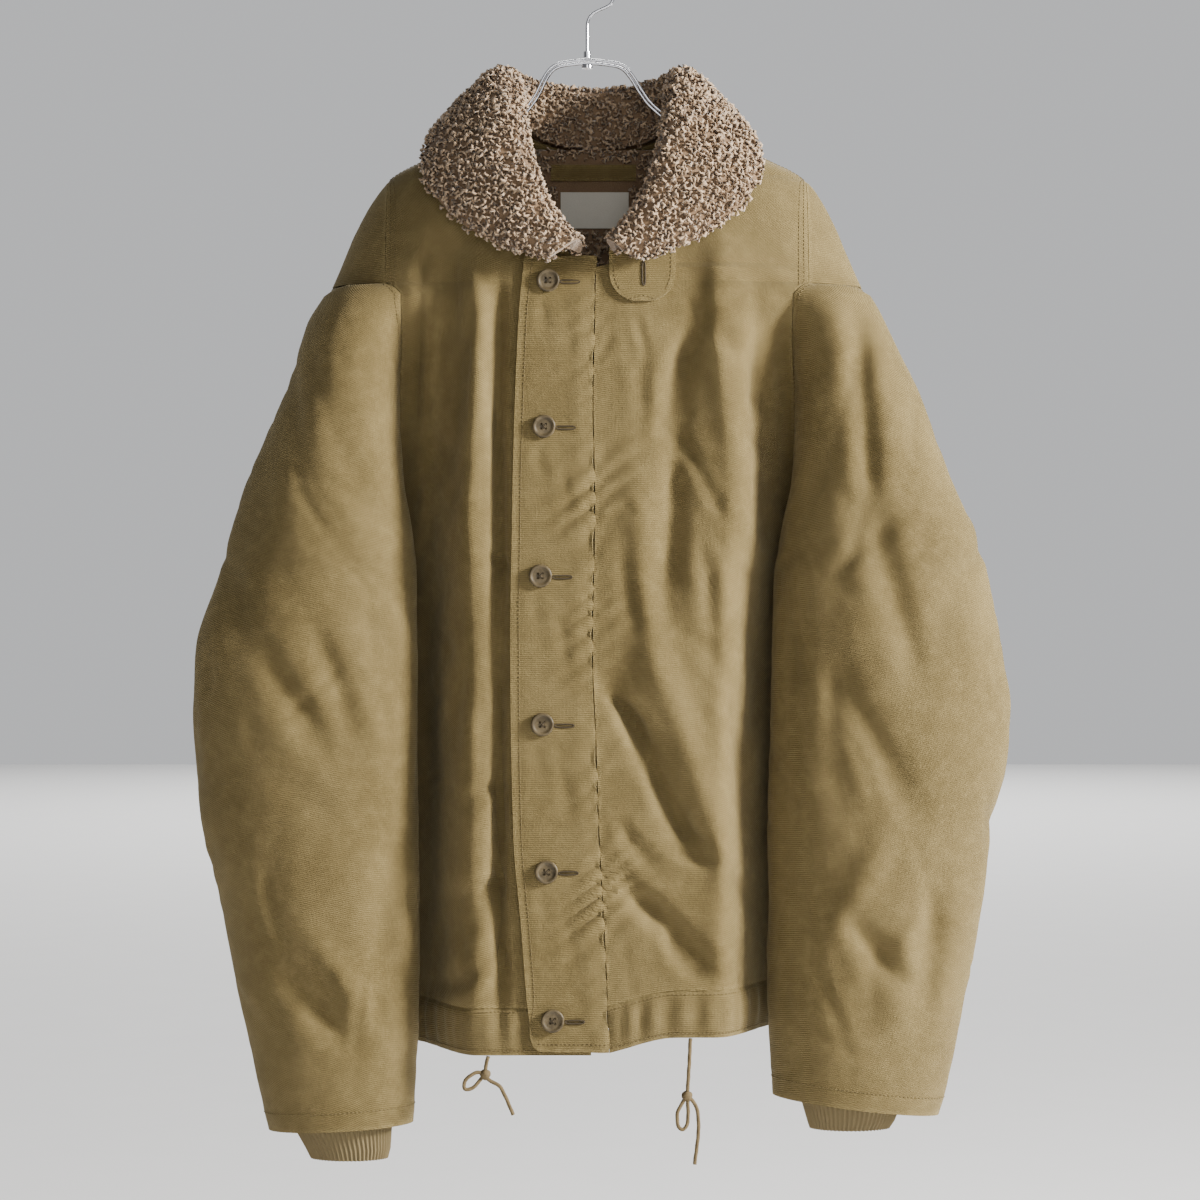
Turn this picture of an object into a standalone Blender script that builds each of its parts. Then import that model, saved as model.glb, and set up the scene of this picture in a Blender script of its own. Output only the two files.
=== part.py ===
"""Deck jacket with a pile collar, hanging on a chrome wire hanger.

The frame's origin is the inside top of the hook, +Z up, +Y towards the wall, the wearer's left at +X.
Every length below is in millimetres, and MM turns it into metres when a mesh is made.
Each side of the garment is worked out in o, the distance out from the garment's own middle line.
"""

import math

import bpy
import numpy as np

MM = 0.001
WEARER_RIGHT = -1
WEARER_LEFT = 1
SIDE_NAMES = {WEARER_RIGHT: "right", WEARER_LEFT: "left"}

# The garment hangs a little towards the wearer's left of the hook.
GARMENT_MIDDLE_X = 8.0

# Cloth and seams
CLOTH = 3.0
HALF_SEAM_GAP = 0.24
LAYER_GAP = 0.35
COLLAR_THICK = 11.0
LINING_THICK = 5.0
LINING_GAP = 1.1
TRIM_GAP = 1.0

# Heights that the panels share
NECK_POINT_Z = -131.0
PEAK_Z = -179.0
ARMHOLE_TOP_Z = -267.0
ARMHOLE_FRONT_Z = -276.0
ARMHOLE_OUTER_Z = -301.0
UNDERARM_Z = -500.0
CASING_SEAM_Z = -842.0
HEM_Z = -879.0
BACK_NECK_Z = -152.0
BACK_LEVEL_Z = -232.0
SHOULDER_SEAM_O = 169.0
FLAP_TOP_Z = -248.0
FLAP_BOTTOM_Z = -876.0
LEFT_HEM_RISE = 14.0
CASING_PROUD = 2.6
CASING_GATHER = 0.9
FLAP_CORNER = 12.0
FLAP_HIDES_X = -52.0

# Chin tab
TAB_MIDDLE_X = 44.0
TAB_HALF_WIDTH = 26.4
TAB_TOP_Z = -237.0
TAB_BOTTOM_Z = -283.5

# Collar, read from t = 0 at the middle back to t = 1 at its front ends
COLLAR_MIDDLE_X = 4.0
COLLAR_STEPS = 9
COLLAR_STATIONS = 29
LINING_BOTTOM_Z = -292.0
SHARP_ANGLE = math.radians(50)

PANEL_COLUMNS = 14
BACK_COLUMNS = 22
SLEEVE_COLUMNS = 21
FRONT_SAMPLES = 60
BACK_SAMPLES = 52
SLEEVE_SAMPLES = 90


def smooth_value(keys, values, key):
    """A monotone cubic through (keys, values), held level past both ends."""
    order = np.argsort(keys)
    keys = keys[order]
    values = values[order]
    step = np.diff(keys)
    rise = np.diff(values) / step
    slope = np.zeros(len(keys))
    same = rise[:-1] * rise[1:] > 0
    slope[1:-1][same] = 2 / (1 / rise[:-1][same] + 1 / rise[1:][same])
    slope[0] = rise[0]
    slope[-1] = rise[-1]
    key = np.clip(key, keys[0], keys[-1])
    i = np.clip(np.searchsorted(keys, key) - 1, 0, len(keys) - 2)
    t = (key - keys[i]) / step[i]
    start = (2 * t**3 - 3 * t**2 + 1) * values[i] + (t**3 - 2 * t**2 + t) * step[i] * slope[i]
    end = (3 * t**2 - 2 * t**3) * values[i + 1] + (t**3 - t**2) * step[i] * slope[i + 1]
    return start + end


class Table:
    """Rows of named columns. The first column is the key that the others are read by."""

    def __init__(self, names, *rows):
        self.names = names.split()
        self.rows = np.array(rows, float)

    def __call__(self, name, key):
        return smooth_value(self.rows[:, 0], self.rows[:, self.names.index(name)], key)


# The body's level sections, from the neck point to the hem
BODY = Table(
    "z half_width front_depth back_depth",
    (-131, 72, 30, 38),
    (-150, 111, 36, 42),
    (-165, 142, 42, 45),
    (-179, 168, 47, 48),
    (-196, 181, 52, 51),
    (-222, 195, 57, 55),
    (-251, 208, 61, 59),
    (-276, 219, 64, 61),
    (-301, 232, 66, 63),
    (-400, 232, 72, 68),
    (-560, 230, 76, 70),
    (-700, 234, 79, 70),
    (-880, 222, 80, 66),
)

# Where the front rolls back behind the sleeve, and where it ends: the armhole seam, then the side seam
FRONT_END = Table(
    "z roll_o roll_y end_o end_y",
    (-276, 156, -54, 156, -54),
    (-301, 156, -43, 156, -43),
    (-340, 158, -31, 158, -31),
    (-390, 161, -19, 161, -19),
    (-440, 163, -7, 167, -6),
    (-480, 162, 5, 178, 10),
    (-500, 160, 11, 194, 22),
    (-540, 158, 15, 222, 28),
    (-620, 156, 16, 234, 30),
    (-880, 156, 15, 222, 26),
)
FRONT_ROLL_WIDTH = 62.0
SECTION_BLEND_O = 30.0
SECTION_BLEND_Z = 90.0

# Where the back ends: round the shoulder cap, down the back of the armhole, then the side seam
BACK_END = Table(
    "z end_o end_y",
    (-276, 219, 1),
    (-285, 224.5, 8),
    (-301, 231, 18),
    (-325, 228, 32),
    (-355, 216, 43),
    (-400, 202, 48),
    (-440, 195, 45),
    (-480, 193, 34),
    (-500, 194, 22),
    (-540, 222, 28),
    (-620, 234, 30),
    (-880, 222, 26),
)

# The armhole seam's arc over the shoulder cap
ARC = Table(
    "z front_o outer_o",
    (-267, 169, 188),
    (-268.5, 165, 200),
    (-271, 161, 211),
    (-276, 156, 219),
)

# Neckline of the fronts under the collar
NECKLINE = Table(
    "z o",
    (-131, 66),
    (-150, 68),
    (-165, 66),
    (-200, 56),
    (-232, 37),
    (-250, 14),
)

# The sleeves as seen from the front, and their depth
SLEEVE = Table(
    "z right_inner left_inner right_outer left_outer middle_y half_depth",
    (-267, 160, 161, 213, 213, -16, 34),
    (-276, 156, 157, 219, 219, -18, 38),
    (-301, 155.5, 155, 232, 232, -21, 46),
    (-340, 153, 154, 245, 252, -25, 50),
    (-390, 150.5, 153, 267, 273, -29, 52),
    (-430, 149, 150, 284, 288, -31, 52),
    (-470, 147, 146, 296, 306, -33, 52),
    (-503, 146, 144, 304, 314, -34, 52),
    (-560, 144, 140.5, 322, 325, -36, 52),
    (-600, 143, 139, 324, 330, -36, 52),
    (-650, 142, 138, 320, 328, -37, 51),
    (-700, 142, 137, 316, 317, -37, 50),
    (-760, 142, 137, 302, 308, -38, 48),
    (-810, 142, 136, 292, 299, -38, 46),
    (-860, 143, 136.5, 281, 289, -39, 43),
    (-905, 145.5, 139, 270, 278, -40, 40),
    (-942, 147, 142, 262, 268, -40, 37),
)
SLEEVE_HEM_Z = {WEARER_RIGHT: -940.0, WEARER_LEFT: -923.0}
SLEEVE_HEM_TILT = {WEARER_RIGHT: 3.0, WEARER_LEFT: 8.0}
SLEEVE_SEAM_ANGLE = math.radians(-48)

# The wind flap's edges, x over height
FLAP = Table(
    "z free_x sewn_x",
    (-248, -49.6, 7),
    (-291, -53.6, 6.4),
    (-362, -56.8, 5),
    (-444, -58.8, 6.4),
    (-560, -60, 4.5),
    (-624, -59.6, 7),
    (-710, -57.6, 10),
    (-774, -52, 13.5),
    (-828, -48, 16),
    (-876, -44.8, 17.6),
)

# The collar's neck edge, roll and fall edge from the middle back (0) to the front end (1)
COLLAR = Table(
    "t neck_o neck_y neck_z roll_o roll_y roll_z fall_o fall_y fall_z",
    (-0.02, -3, 31.5, -150, -3, 43, -105, -5, 62, -184),
    (0.16, 35, 29, -146, 42, 38, -101, 58, 57, -176),
    (0.30, 59, 14, -129, 72, 18, -93, 100, 38, -154),
    (0.40, 62, 0, -117.5, 77, -1, -96, 120, 8, -142),
    (0.50, 62, -14, -129, 75, -24, -110, 130, -18, -148),
    (0.62, 62, -36, -160, 68, -54, -146, 136, -42, -174),
    (0.76, 52, -52, -196, 56, -72, -188, 114, -65, -212),
    (0.89, 34, -61, -226, 38, -80, -220, 76, -76, -238),
    (1.0, 13, -71, -245, 17, -82, -240, 34, -80, -251),
)

# Half the lining's width, where it shows between the collar's edges
LINING = Table(
    "z half_width",
    (-156, 58),
    (-200, 66),
    (-292, 60),
)

# Knit cuffs: height, middle and half-width from the front, half-depth
CUFF = {
    WEARER_RIGHT: (
        # z, middle_o, half_o, half_y
        (-908, 0, 0, 0),
        (-922, 206, 50, 32),
        (-942, 203, 39, 26),
        (-958, 199, 34, 22),
        (-966, 198, 31, 20),
    ),
    WEARER_LEFT: (
        (-892, 0, 0, 0),
        (-906, 208, 52, 33),
        (-922, 204, 40, 27),
        (-936, 203, 35, 23),
        (-942, 202, 32, 21),
    ),
}
CUFF_THICK = 3.0
CUFF_CLEARANCE = 1.8
CUFF_COLUMNS = 20

# Hoop of the hanger between the shoulders, outward from its middle
HANGER_YOKE = (
    # x, z
    (0, -82.8),
    (20, -84.6),
    (29, -87.5),
    (36, -95),
    (44, -107.8),
    (54, -120.0),
)
HANGER_LEFT_SCALE = 0.93
HANGER_LEFT_DROP = 3.0
HANGER_SHOULDER_O = 73.0
HANGER_WIRE = 2.4
HANGER_DROP = 6.2
HANGER_END_O = 156.0
HANGER_SPACING = 13.0
HANGER_TOP_Z = -80.1
HOOK_WIRE = 2.6
HOOK_INSIDE = 22.0
HOOK_FOOT_Z = -74.4

# Buttons down the wind flap, and the woven label and hanger loop on the back lining
BUTTONS = (
    # x, z
    (-30.7, -267),
    (-33.9, -383),
    (-36.6, -501),
    (-35.0, -618),
    (-31.7, -734),
    (-26.8, -851),
)
BUTTON_STEPS = 16
LOOP_BOX = (-30, 40, -162, -175)
LOOP_THICK = 1.5
LABEL_BOX = (-22, 34, -184, -213)
LABEL_THICK = 1.0

# Drawcords, each tied in a slip bow: routes in x, z and how far behind the cord's exit
CORD = 3.0
DRAWCORDS = {
    WEARER_RIGHT: {
        "knot": (-80, -894),
        "lead": ((-77.8, -879.6, 0), (-79.0, -885, 0), (-79.8, -889.2, 0)),
        "loop": ((-85.4, -892.4, 0), (-90, -893.6, -1), (-96, -899, -2), (-96, -905, -2), (-90, -904.5, -1), (-84.6, -899.0, 0)),
        "tail": ((-76.8, -898.6, 0), (-69, -903, 0), (-64, -912, 1), (-58, -926, 1)),
    },
    WEARER_LEFT: {
        "knot": (79, -911),
        "lead": ((81.6, -865.5, 0), (81.0, -880, 0), (80.2, -894, 0), (79.4, -906.2, 0)),
        "loop": ((76.2, -915.0, 0), (71.5, -924, -1), (72, -934, -2), (76, -937, -2), (79.5, -931, -1), (79.6, -916.0, 0)),
        "tail": ((82.8, -914.2, 0), (87, -922, 1), (88, -939, 1), (85, -965, 1)),
    },
}

# Finishes: colour, roughness, metallic
CANVAS = ((0.215, 0.155, 0.062), 0.85)
PILE = ((0.30, 0.205, 0.125), 0.95)
KNIT = ((0.11, 0.085, 0.04), 0.9)
LABEL = ((0.62, 0.58, 0.48), 0.8)
BUTTON = ((0.19, 0.145, 0.07), 0.45)
CORD_FINISH = ((0.20, 0.145, 0.065), 0.85)
CHROME = ((0.75, 0.75, 0.77), 0.18, 1.0)

# Largest folds: a trough has a positive depth and a ridge a negative one
FRONT_FOLDS = (
    # x_top, z_top, x_bottom, z_bottom, half_width, depth
    (-138, -190, -140, -330, 8, -4),
    (-116, -240, -128, -580, 15, 12),
    (-90, -250, -92, -520, 11, -6),
    (-68, -270, -66, -850, 9, 8),
    (-64, -735, -104, -785, 10, 7),
    (-120, -850, -70, -795, 12, -7),
    (-104, -600, -100, -770, 16, -6),
    (104, -230, 142, -500, 16, -7),
    (82, -300, 62, -530, 14, 7),
    (18, -585, 92, -725, 10, 9),
    (30, -745, 104, -830, 10, 9),
    (50, -550, 118, -750, 14, -7),
    (40, -420, 52, -600, 12, -4),
)
BACK_FOLDS = (
    (-120, -260, -96, -700, 16, 9),
    (-70, -420, -60, -850, 14, -6),
    (-24, -300, -36, -860, 15, 7),
    (36, -480, 24, -850, 13, -6),
    (66, -280, 84, -780, 15, 8),
    (128, -300, 112, -820, 14, -6),
    (150, -560, 60, -760, 13, 6),
)
SLEEVE_FOLDS = {
    WEARER_RIGHT: (
        # o_top, z_top, o_bottom, z_bottom, half_width, depth, front (-1) or back (1)
        (222, -545, 190, -630, 10, 6, -1),
        (262, -560, 215, -640, 11, 6, -1),
        (235, -330, 300, -520, 16, 5, -1),
        (240, -820, 195, -872, 11, 8, -1),
        (220, -790, 178, -850, 10, -6, -1),
        (160, -700, 178, -870, 12, 5, -1),
        (200, -420, 280, -600, 15, 7, 1),
        (180, -620, 270, -760, 13, 7, 1),
        (260, -780, 180, -880, 12, 7, 1),
    ),
    WEARER_LEFT: (
        (206, -280, 214, -440, 10, 7, -1),
        (214, -440, 252, -580, 12, 6, -1),
        (180, -560, 250, -690, 13, 5, -1),
        (198, -770, 246, -826, 11, 8, -1),
        (268, -740, 258, -850, 11, 6, -1),
        (230, -700, 180, -800, 12, -5, -1),
        (190, -400, 290, -620, 15, 7, 1),
        (270, -640, 190, -780, 13, 7, 1),
        (180, -800, 250, -862, 12, 7, 1),
    ),
}


def smoothstep(t):
    t = np.clip(t, 0.0, 1.0)
    return t * t * (3 - 2 * t)


def fold_shift(folds, x, z):
    """How far the folds move a point at (x, z) inward."""
    total = 0.0
    for x_top, z_top, x_bottom, z_bottom, half_width, depth in folds:
        run_x = x_bottom - x_top
        run_z = z_bottom - z_top
        length = math.hypot(run_x, run_z)
        along = ((x - x_top) * run_x + (z - z_top) * run_z) / length
        across = ((x - x_top) * run_z - (z - z_top) * run_x) / length
        taper = smoothstep((along + 25) / 60) * smoothstep((length + 25 - along) / 60)
        total = total + depth * taper * np.exp(-((across / half_width) ** 2))
    return total


def hem_lift(x, z):
    """The wearer's left side of the hem hangs a little higher."""
    return LEFT_HEM_RISE * smoothstep(x / 70) * smoothstep((-700 - z) / 140)


def oval_y(o, z):
    """Front of the full oval section over the shoulders."""
    share = np.minimum(1.0, o / BODY("half_width", z))
    return -BODY("front_depth", z) * np.sqrt(1 - share**4)


def rolled_y(o, z):
    """Front of the body below the armhole's top, rolled back behind the sleeve."""
    depth = BODY("front_depth", z)
    roll_o = FRONT_END("roll_o", z)
    roll_y = FRONT_END("roll_y", z)
    end_o = FRONT_END("end_o", z)
    end_y = FRONT_END("end_y", z)
    rolled = smoothstep((o - roll_o + FRONT_ROLL_WIDTH) / FRONT_ROLL_WIDTH)
    past_roll = np.maximum(0.0, o - roll_o) / max(1.0, end_o - roll_o)
    return -depth + (depth + roll_y) * rolled + (end_y - roll_y) * past_roll


def front_depth_y(o, z):
    """Outer face of the front without its folds."""
    if z > ARMHOLE_FRONT_Z:
        return oval_y(o, z)
    step = oval_y(o, ARMHOLE_FRONT_Z) - rolled_y(o, ARMHOLE_FRONT_Z)
    clear_of_roll = smoothstep((FRONT_END("roll_o", z) - o) / SECTION_BLEND_O)
    return rolled_y(o, z) + step * clear_of_roll * smoothstep((z - ARMHOLE_FRONT_Z) / SECTION_BLEND_Z + 1)


def front_y(x, z):
    """Outer face of the front, folds and all."""
    o = abs(x - GARMENT_MIDDLE_X)
    fade = smoothstep((FRONT_END("roll_o", z) - 10 - o) / 24)
    clear_of_flap = smoothstep((FLAP_HIDES_X - 6 - x) / 12)
    fade = fade * np.where(x < GARMENT_MIDDLE_X, clear_of_flap, 1.0)
    return front_depth_y(o, z) + fade * fold_shift(FRONT_FOLDS, x, z)


def front_end(z):
    """(o, y) of the front panel's outer edge: shoulder line, shoulder seam, armhole seam, side seam."""
    if z > ARMHOLE_TOP_Z:
        o = min(SHOULDER_SEAM_O, BODY("half_width", z))
        return o, front_depth_y(o, z)
    if z > ARMHOLE_FRONT_Z:
        o = ARC("front_o", z)
        return o, front_depth_y(o, z)
    return FRONT_END("end_o", z), FRONT_END("end_y", z)


def back_end(z):
    """(o, y) of the back panel's outer edge. It starts on the front of the shoulder cap."""
    if z >= ARMHOLE_TOP_Z:
        return front_end(z)
    if z > ARMHOLE_FRONT_Z:
        o = ARC("outer_o", z)
        return o, front_depth_y(o, z)
    return BACK_END("end_o", z), BACK_END("end_y", z)


def resample(path, count):
    """The path with count points, evenly spaced along it."""
    path = np.array(path, float)
    length = np.concatenate([[0], np.cumsum(np.linalg.norm(np.diff(path, axis=0), axis=1))])
    at = np.linspace(0, length[-1], count)
    return np.stack([np.interp(at, length, path[:, axis]) for axis in range(path.shape[1])], axis=1)


def levels(*stops):
    """Heights between named levels, from (height, steps down to the next) pairs."""
    found = []
    for (top, steps), (bottom, _) in zip(stops, stops[1:]):
        found += list(np.linspace(top, bottom, steps, endpoint=False))
    return found + [stops[-1][0]]


ARC_LEVELS = [-268.5, -271.0, ARMHOLE_FRONT_Z, -285.0]
UPPER_LEVELS = (
    levels((NECK_POINT_Z, 3), (PEAK_Z, 4), (ARMHOLE_TOP_Z, 0))
    + ARC_LEVELS
    + levels((ARMHOLE_OUTER_Z, 6), (UNDERARM_Z, 0))
)
BODY_LEVELS = UPPER_LEVELS + levels((UNDERARM_Z, 8), (CASING_SEAM_Z, 0))[1:]


class Patch:
    """A cut piece as a surface, before it gets its thickness. Its faces turn outward."""

    def __init__(self, rows, closed_from=None, flip=False):
        count = len(rows[0])
        index = np.arange(len(rows) * count).reshape(len(rows), count)
        if closed_from is not None:
            index[closed_from:, -1] = index[closed_from:, 0]
        quads = []
        for r in range(len(rows) - 1):
            for c in range(count - 1):
                quad = [index[r, c], index[r + 1, c], index[r + 1, c + 1], index[r, c + 1]]
                quads.append(quad[::-1] if flip else quad)
        points = np.concatenate([np.array(row, float) for row in rows])
        used, renamed = np.unique(np.array(quads), return_inverse=True)
        self.points = points[used]
        self.quads = renamed.reshape(-1, 4)
        self.thinned = np.ones(len(self.points))
        self.find_edges()
        self.find_normals()

    def find_edges(self):
        ends = {}
        for quad in self.quads:
            for a, b in zip(quad, np.roll(quad, -1)):
                if a != b:
                    ends[(a, b)] = ends.get((a, b), 0) + 1
        self.border = [(a, b) for a, b in ends if (b, a) not in ends]

    def find_normals(self):
        corners = self.points[self.quads]
        across = np.cross(corners[:, 2] - corners[:, 0], corners[:, 3] - corners[:, 1])
        self.normals = np.zeros_like(self.points)
        for column in range(4):
            np.add.at(self.normals, self.quads[:, column], across)
        self.normals /= np.linalg.norm(self.normals, axis=1, keepdims=True) + 1e-12

    def draw_in(self, distance):
        """Moves the border into the piece, which leaves the gap of a seam."""
        inward = np.zeros_like(self.points)
        for a, b in self.border:
            edge = self.points[b] - self.points[a]
            edge = edge / (np.linalg.norm(edge) + 1e-12)
            for end in (a, b):
                inward[end] += np.cross(self.normals[end], edge)
        length = np.linalg.norm(inward, axis=1, keepdims=True)
        moved = length[:, 0] > 1e-6
        self.points[moved] += distance * (inward / (length + 1e-12))[moved]

    def wall(self, thickness, outward=0.0):
        """(points, faces) of the closed wall, its outer face moved outward by that much."""
        outer = self.points + self.normals * outward
        inner = outer - self.normals * thickness * self.thinned[:, None]
        count = len(outer)
        faces = [tuple(quad) for quad in self.quads]
        faces += [tuple(np.array(quad[::-1]) + count) for quad in self.quads]
        faces += [(b, a, a + count, b + count) for a, b in self.border]
        return np.concatenate([outer, inner]), faces


def sew(patches):
    """Where borders meet, the pieces share one normal, thinner at a sharp corner, and each draws in."""
    shared = {}
    for patch in patches:
        for vertex in {end for edge in patch.border for end in edge}:
            key = tuple(np.round(patch.points[vertex] / 0.05).astype(int))
            shared.setdefault(key, []).append((patch, vertex))
    for meeting in shared.values():
        total = sum(patch.normals[vertex] for patch, vertex in meeting)
        agreement = np.linalg.norm(total) / len(meeting)
        total = total / (np.linalg.norm(total) + 1e-12)
        for patch, vertex in meeting:
            patch.normals[vertex] = total
            patch.thinned[vertex] = smoothstep(agreement) if len(meeting) > 1 else 1.0
    for patch in patches:
        patch.draw_in(HALF_SEAM_GAP)


def place(side, path, z):
    """Points (o, y) at one height, or with heights of their own, as (x, y, z) on that side."""
    heights = np.full(len(path), z) if np.isscalar(z) else np.array(z)
    x = GARMENT_MIDDLE_X + side * path[:, 0]
    return np.stack([x, path[:, 1], heights + hem_lift(x, heights)], axis=1)


def front_inner_x(side, z):
    """The fronts start at the neckline, and below it under or beside the wind flap."""
    if z > FLAP_TOP_Z:
        return GARMENT_MIDDLE_X + side * NECKLINE("o", z)
    if side == WEARER_RIGHT:
        return min(FLAP("sewn_x", z) - 14, GARMENT_MIDDLE_X - NECKLINE("o", FLAP_TOP_Z) + (FLAP_TOP_Z - z))
    return FLAP("sewn_x", z) if z < FLAP_TOP_Z - 6 else GARMENT_MIDDLE_X + NECKLINE("o", z)


def flap_step(side, x):
    """The wearer's left front comes level with the wind flap that is sewn to it."""
    if side == WEARER_RIGHT:
        return 0.0
    return -(CLOTH + LAYER_GAP - 1.0) * smoothstep((95 - x) / 75)


def front_row(side, z, count):
    """One level of a front, from its inner edge to its outer edge."""
    inner_x = front_inner_x(side, z)
    end_o, end_y = front_end(z)
    start_o = side * (inner_x - GARMENT_MIDDLE_X)
    o = np.linspace(start_o, end_o, FRONT_SAMPLES)
    x = GARMENT_MIDDLE_X + side * o
    path = np.stack([o, front_y(x, z) + flap_step(side, x)], axis=1)
    path[-1] = (end_o, end_y)
    return place(side, resample(path, count), z)


def back_row(z, count):
    """One level of the back, from the wearer's right to the wearer's left over the middle."""
    half = []
    end_o, end_y = back_end(z)
    depth = BODY("back_depth", z)
    width = BODY("half_width", z)
    if end_y < 0:
        turn = math.asin(min(1.0, -end_y / BODY("front_depth", z)))
        for angle in np.linspace(-turn, 0, BACK_SAMPLES // 4, endpoint=False):
            half.append((width * math.sqrt(math.cos(angle)), BODY("front_depth", z) * math.sin(angle)))
        half[0] = (end_o, end_y)
        end_o = width
        end_y = 0.0
    for o in end_o * np.cos(np.linspace(0, math.pi / 2, BACK_SAMPLES)) ** 0.5:
        half.append((o, end_y + (depth - end_y) * math.sqrt(max(0.0, 1 - (o / end_o) ** 4))))
    half = resample(half, count // 2 + 1)
    sides = []
    for side in (WEARER_RIGHT, WEARER_LEFT):
        o = half[:, 0]
        sag = (BACK_NECK_Z - NECK_POINT_Z) * max(0.0, (z - BACK_LEVEL_Z) / (NECK_POINT_Z - BACK_LEVEL_Z))
        heights = z + sag * (1 - (o / o.max()) ** 2) * (np.arange(len(o)) > 0)
        points = place(side, half, heights)
        x = points[:, 0]
        inside = smoothstep((o[0] - o) / 30) * smoothstep(points[:, 1] / 20)
        points[:, 1] -= inside * fold_shift(BACK_FOLDS, x, points[:, 2])
        sides.append(points)
    return np.concatenate([sides[0], sides[1][-2::-1]])


def sleeve_angle(side, z, o, y):
    """The angle round the sleeve at (o, y): 0 faces the body, and a quarter turn faces forward."""
    inner = SLEEVE(SIDE_NAMES[side] + "_inner", z)
    outer = SLEEVE(SIDE_NAMES[side] + "_outer", z)
    middle = (inner + outer) / 2
    half = (outer - inner) / 2
    across = (middle - o) / half
    forward = (SLEEVE("middle_y", z) - y) / SLEEVE("half_depth", z)
    return math.atan2(forward, across)


def sleeve_point(side, z, angle):
    inner = SLEEVE(SIDE_NAMES[side] + "_inner", z)
    outer = SLEEVE(SIDE_NAMES[side] + "_outer", z)
    o = (inner + outer) / 2 - (outer - inner) / 2 * np.cos(angle)
    y = SLEEVE("middle_y", z) - SLEEVE("half_depth", z) * np.sin(angle)
    facing = np.where(np.sin(angle) > 0, -1, 1)
    weight = np.minimum(1.0, 2.5 * np.abs(np.sin(angle)))
    for face in (-1, 1):
        folds = [row[:6] for row in SLEEVE_FOLDS[side] if row[6] == face]
        y = y - face * (facing == face) * weight * fold_shift(folds, o, z)
    return np.stack([o, y], axis=-1)


def sleeve_row(side, z, count):
    """One level of a sleeve, from the front of the armhole round the outside to its back."""
    hem = SLEEVE_HEM_Z[side]
    if z <= UNDERARM_Z:
        start = SLEEVE_SEAM_ANGLE
        turn = 2 * math.pi
    else:
        start = sleeve_angle(side, z, *front_end(z))
        finish = sleeve_angle(side, z, *back_end(z))
        finish += 2 * math.pi * (finish < start)
        turn = finish - start
    t = np.linspace(0, 1, SLEEVE_SAMPLES)[:, None]
    path = sleeve_point(side, z, start + turn * t[:, 0])
    pull = smoothstep((z - UNDERARM_Z + 60) / 60)
    first = np.array(front_end(max(z, UNDERARM_Z))) - path[0]
    last = np.array(back_end(max(z, UNDERARM_Z))) - path[-1]
    path = path + pull * ((1 - t) ** 5 * first + t**5 * last)
    path = resample(path, count)
    inner = SLEEVE(SIDE_NAMES[side] + "_inner", z)
    outer = SLEEVE(SIDE_NAMES[side] + "_outer", z)
    slope = SLEEVE_HEM_TILT[side] * smoothstep((hem + 200 - z) / 200)
    heights = z - slope * (2 * path[:, 0] - inner - outer) / (outer - inner)
    x = GARMENT_MIDDLE_X + side * path[:, 0]
    return np.stack([x, path[:, 1], heights], axis=1)


def sleeve_levels(side):
    upper = [z for z in UPPER_LEVELS if z <= ARMHOLE_TOP_Z]
    return upper + levels((UNDERARM_Z, 12), (SLEEVE_HEM_Z[side], 0))[1:]


def casing_row(side, z):
    """One level of the hem casing, standing a little proud of the panels, with small gathers."""
    down = (CASING_SEAM_Z - z) / (CASING_SEAM_Z - HEM_Z)
    panel = back_row(z, BACK_COLUMNS) if side is None else front_row(side, z, PANEL_COLUMNS)
    row = resample(panel, 2 * len(panel) - 1)
    along = np.arange(len(row))
    inside = np.minimum(1, np.minimum(along, len(row) - 1 - along))
    gathers = CASING_GATHER * np.sin(along * 2.2 + 0.7 * np.sin(along))
    proud = (CASING_PROUD + gathers) * math.sin(math.pi * min(1.0, 0.1 + 0.8 * down)) * inside * (down > 0)
    outward = -1 if side is not None else 1
    clear_of_flap = smoothstep((FLAP_HIDES_X - row[:, 0]) / 10) if side == WEARER_RIGHT else 1.0
    row[:, 1] += outward * proud * clear_of_flap * smoothstep(np.abs(row[:, 1]) / 40)
    return row


def flap_rows():
    """The wind flap from its free edge to its sewn edge, level by level, with a round lower corner."""
    rows = []
    for z in levels((FLAP_TOP_Z, 20), (FLAP_BOTTOM_Z, 0)):
        row = []
        for t in np.linspace(0, 1, 7):
            x = FLAP("free_x", z) + (FLAP("sewn_x", z) - 2 * HALF_SEAM_GAP - FLAP("free_x", z)) * t
            corner = FLAP_CORNER * (1 - math.sqrt(1 - max(0.0, 1 - (x - FLAP("free_x", z)) / FLAP_CORNER) ** 2))
            near_bottom = smoothstep((FLAP_BOTTOM_Z + 60 - z) / 60)
            height = z + corner * near_bottom
            row.append((x, front_y(x, height), height))
        rows.append(row)
    return rows


def tab_rows():
    """The chin tab, a rounded D on the wearer's left front."""
    rows = []
    for t in np.linspace(0.0, 1.0, 8):
        z = TAB_TOP_Z + (TAB_BOTTOM_Z - TAB_TOP_Z) * t
        bow = math.sqrt(max(0.0, 1 - max(0.0, (t - 0.45) / 0.57) ** 2.4))
        half = TAB_HALF_WIDTH * bow
        row = []
        for u in np.linspace(-1, 1, 7):
            x = TAB_MIDDLE_X + u * half
            row.append((x, front_y(x, z) + flap_step(WEARER_LEFT, x), z))
        rows.append(row)
    return rows


def lining_rows():
    """The pile lining inside the back neck, from the neck seam down."""
    rows = []
    for z in levels((-158, 6), (LINING_BOTTOM_Z, 0)):
        half_width = LINING("half_width", z)
        row = []
        for x in np.linspace(-half_width, half_width, 9):
            row.append((GARMENT_MIDDLE_X + x, back_inside_y(x, z), z))
        rows.append(row)
    return rows


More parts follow.
